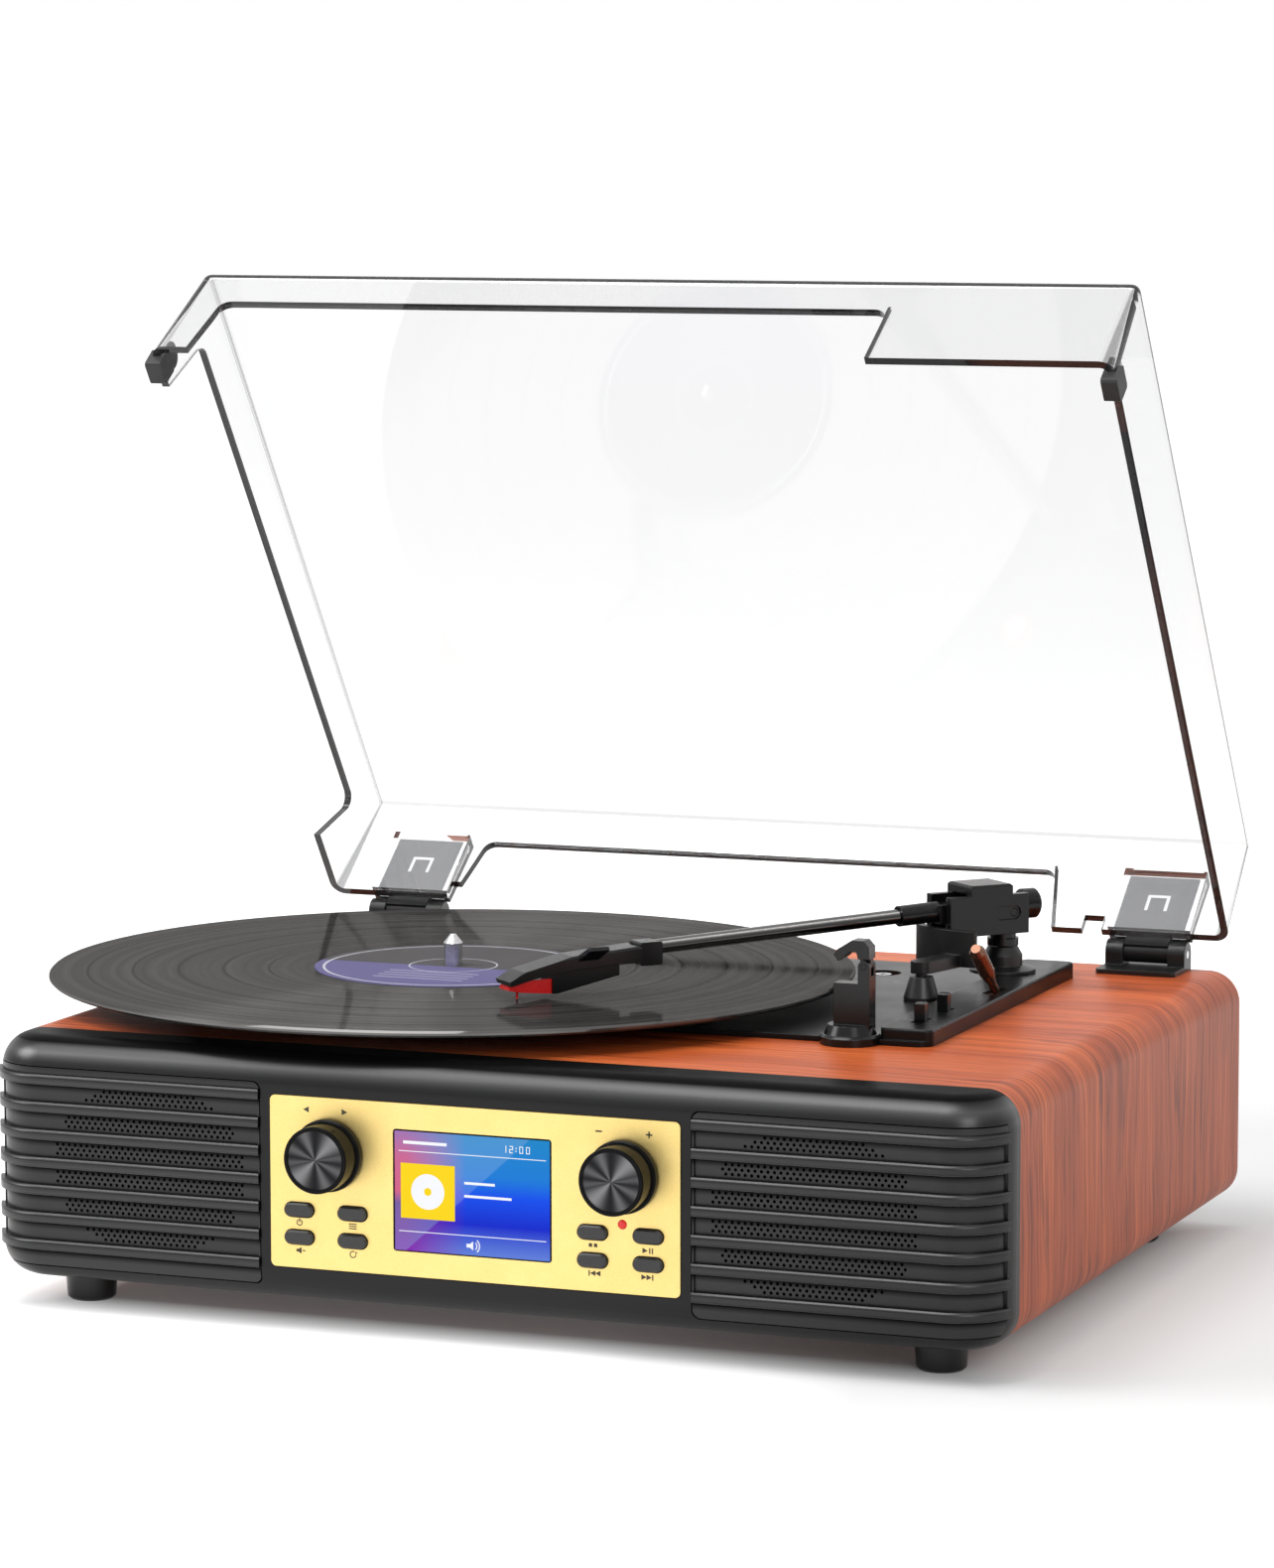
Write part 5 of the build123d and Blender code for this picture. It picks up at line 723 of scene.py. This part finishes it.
ground.link(ground.add(ground.bsdf.outputs[0], glow.outputs[0]), ground.end)
floor_mesh.materials.append(ground.material)


def area_light(name, place, aim, size, power):
    data = bpy.data.lights.new(name, "AREA")
    data.shape = "RECTANGLE"
    data.size, data.size_y = size
    data.energy = power
    item = bpy.data.objects.new(name, data)
    item.location = place
    item.rotation_euler = (Vector(aim) - Vector(place)).to_track_quat("-Z", "Y").to_euler()
    bpy.context.scene.collection.objects.link(item)


area_light("key_left", (-1.6, -0.8, 1.3), (0.05, 0.0, 0.0), (1.0, 1.0), 20.0)
area_light("top_soft", (-0.4, -0.45, 2.0), (0.07, 0.0, 0.0), (1.6, 1.0), 26.0)
area_light("fill_right", (1.5, -1.7, 0.9), (0.1, -0.1, -0.05), (0.9, 0.9), 13.0)

# Camera at the photo's place
AZIMUTH = math.radians(21.35)
ELEVATION = math.radians(6.87)
ROLL = math.radians(-0.06)
CAMERA_PLACE = (0.82026, -1.90877, 0.31861)
FOCAL_PIXELS = 5636.16
LONG_SIDE = 1580.0
SENSOR = 36.0
level = math.cos(ELEVATION)
back = Vector((math.sin(AZIMUTH) * level, -math.cos(AZIMUTH) * level, math.sin(ELEVATION)))
right = Vector((math.cos(AZIMUTH), math.sin(AZIMUTH), 0.0))
up = back.cross(right)
side = right * math.cos(ROLL) + up * math.sin(ROLL)
rise = up * math.cos(ROLL) - right * math.sin(ROLL)
camera_data = bpy.data.cameras.new("camera")
camera_data.sensor_width = SENSOR
camera_data.lens = FOCAL_PIXELS / LONG_SIDE * SENSOR
camera_data.clip_end = 100.0
camera = bpy.data.objects.new("camera", camera_data)
camera.matrix_world = Matrix((
    (side.x, rise.x, back.x, CAMERA_PLACE[0]),
    (side.y, rise.y, back.y, CAMERA_PLACE[1]),
    (side.z, rise.z, back.z, CAMERA_PLACE[2]),
    (0.0, 0.0, 0.0, 1.0),
))
bpy.context.scene.collection.objects.link(camera)
bpy.context.scene.camera = camera
bpy.context.scene.view_settings.view_transform = "Standard"
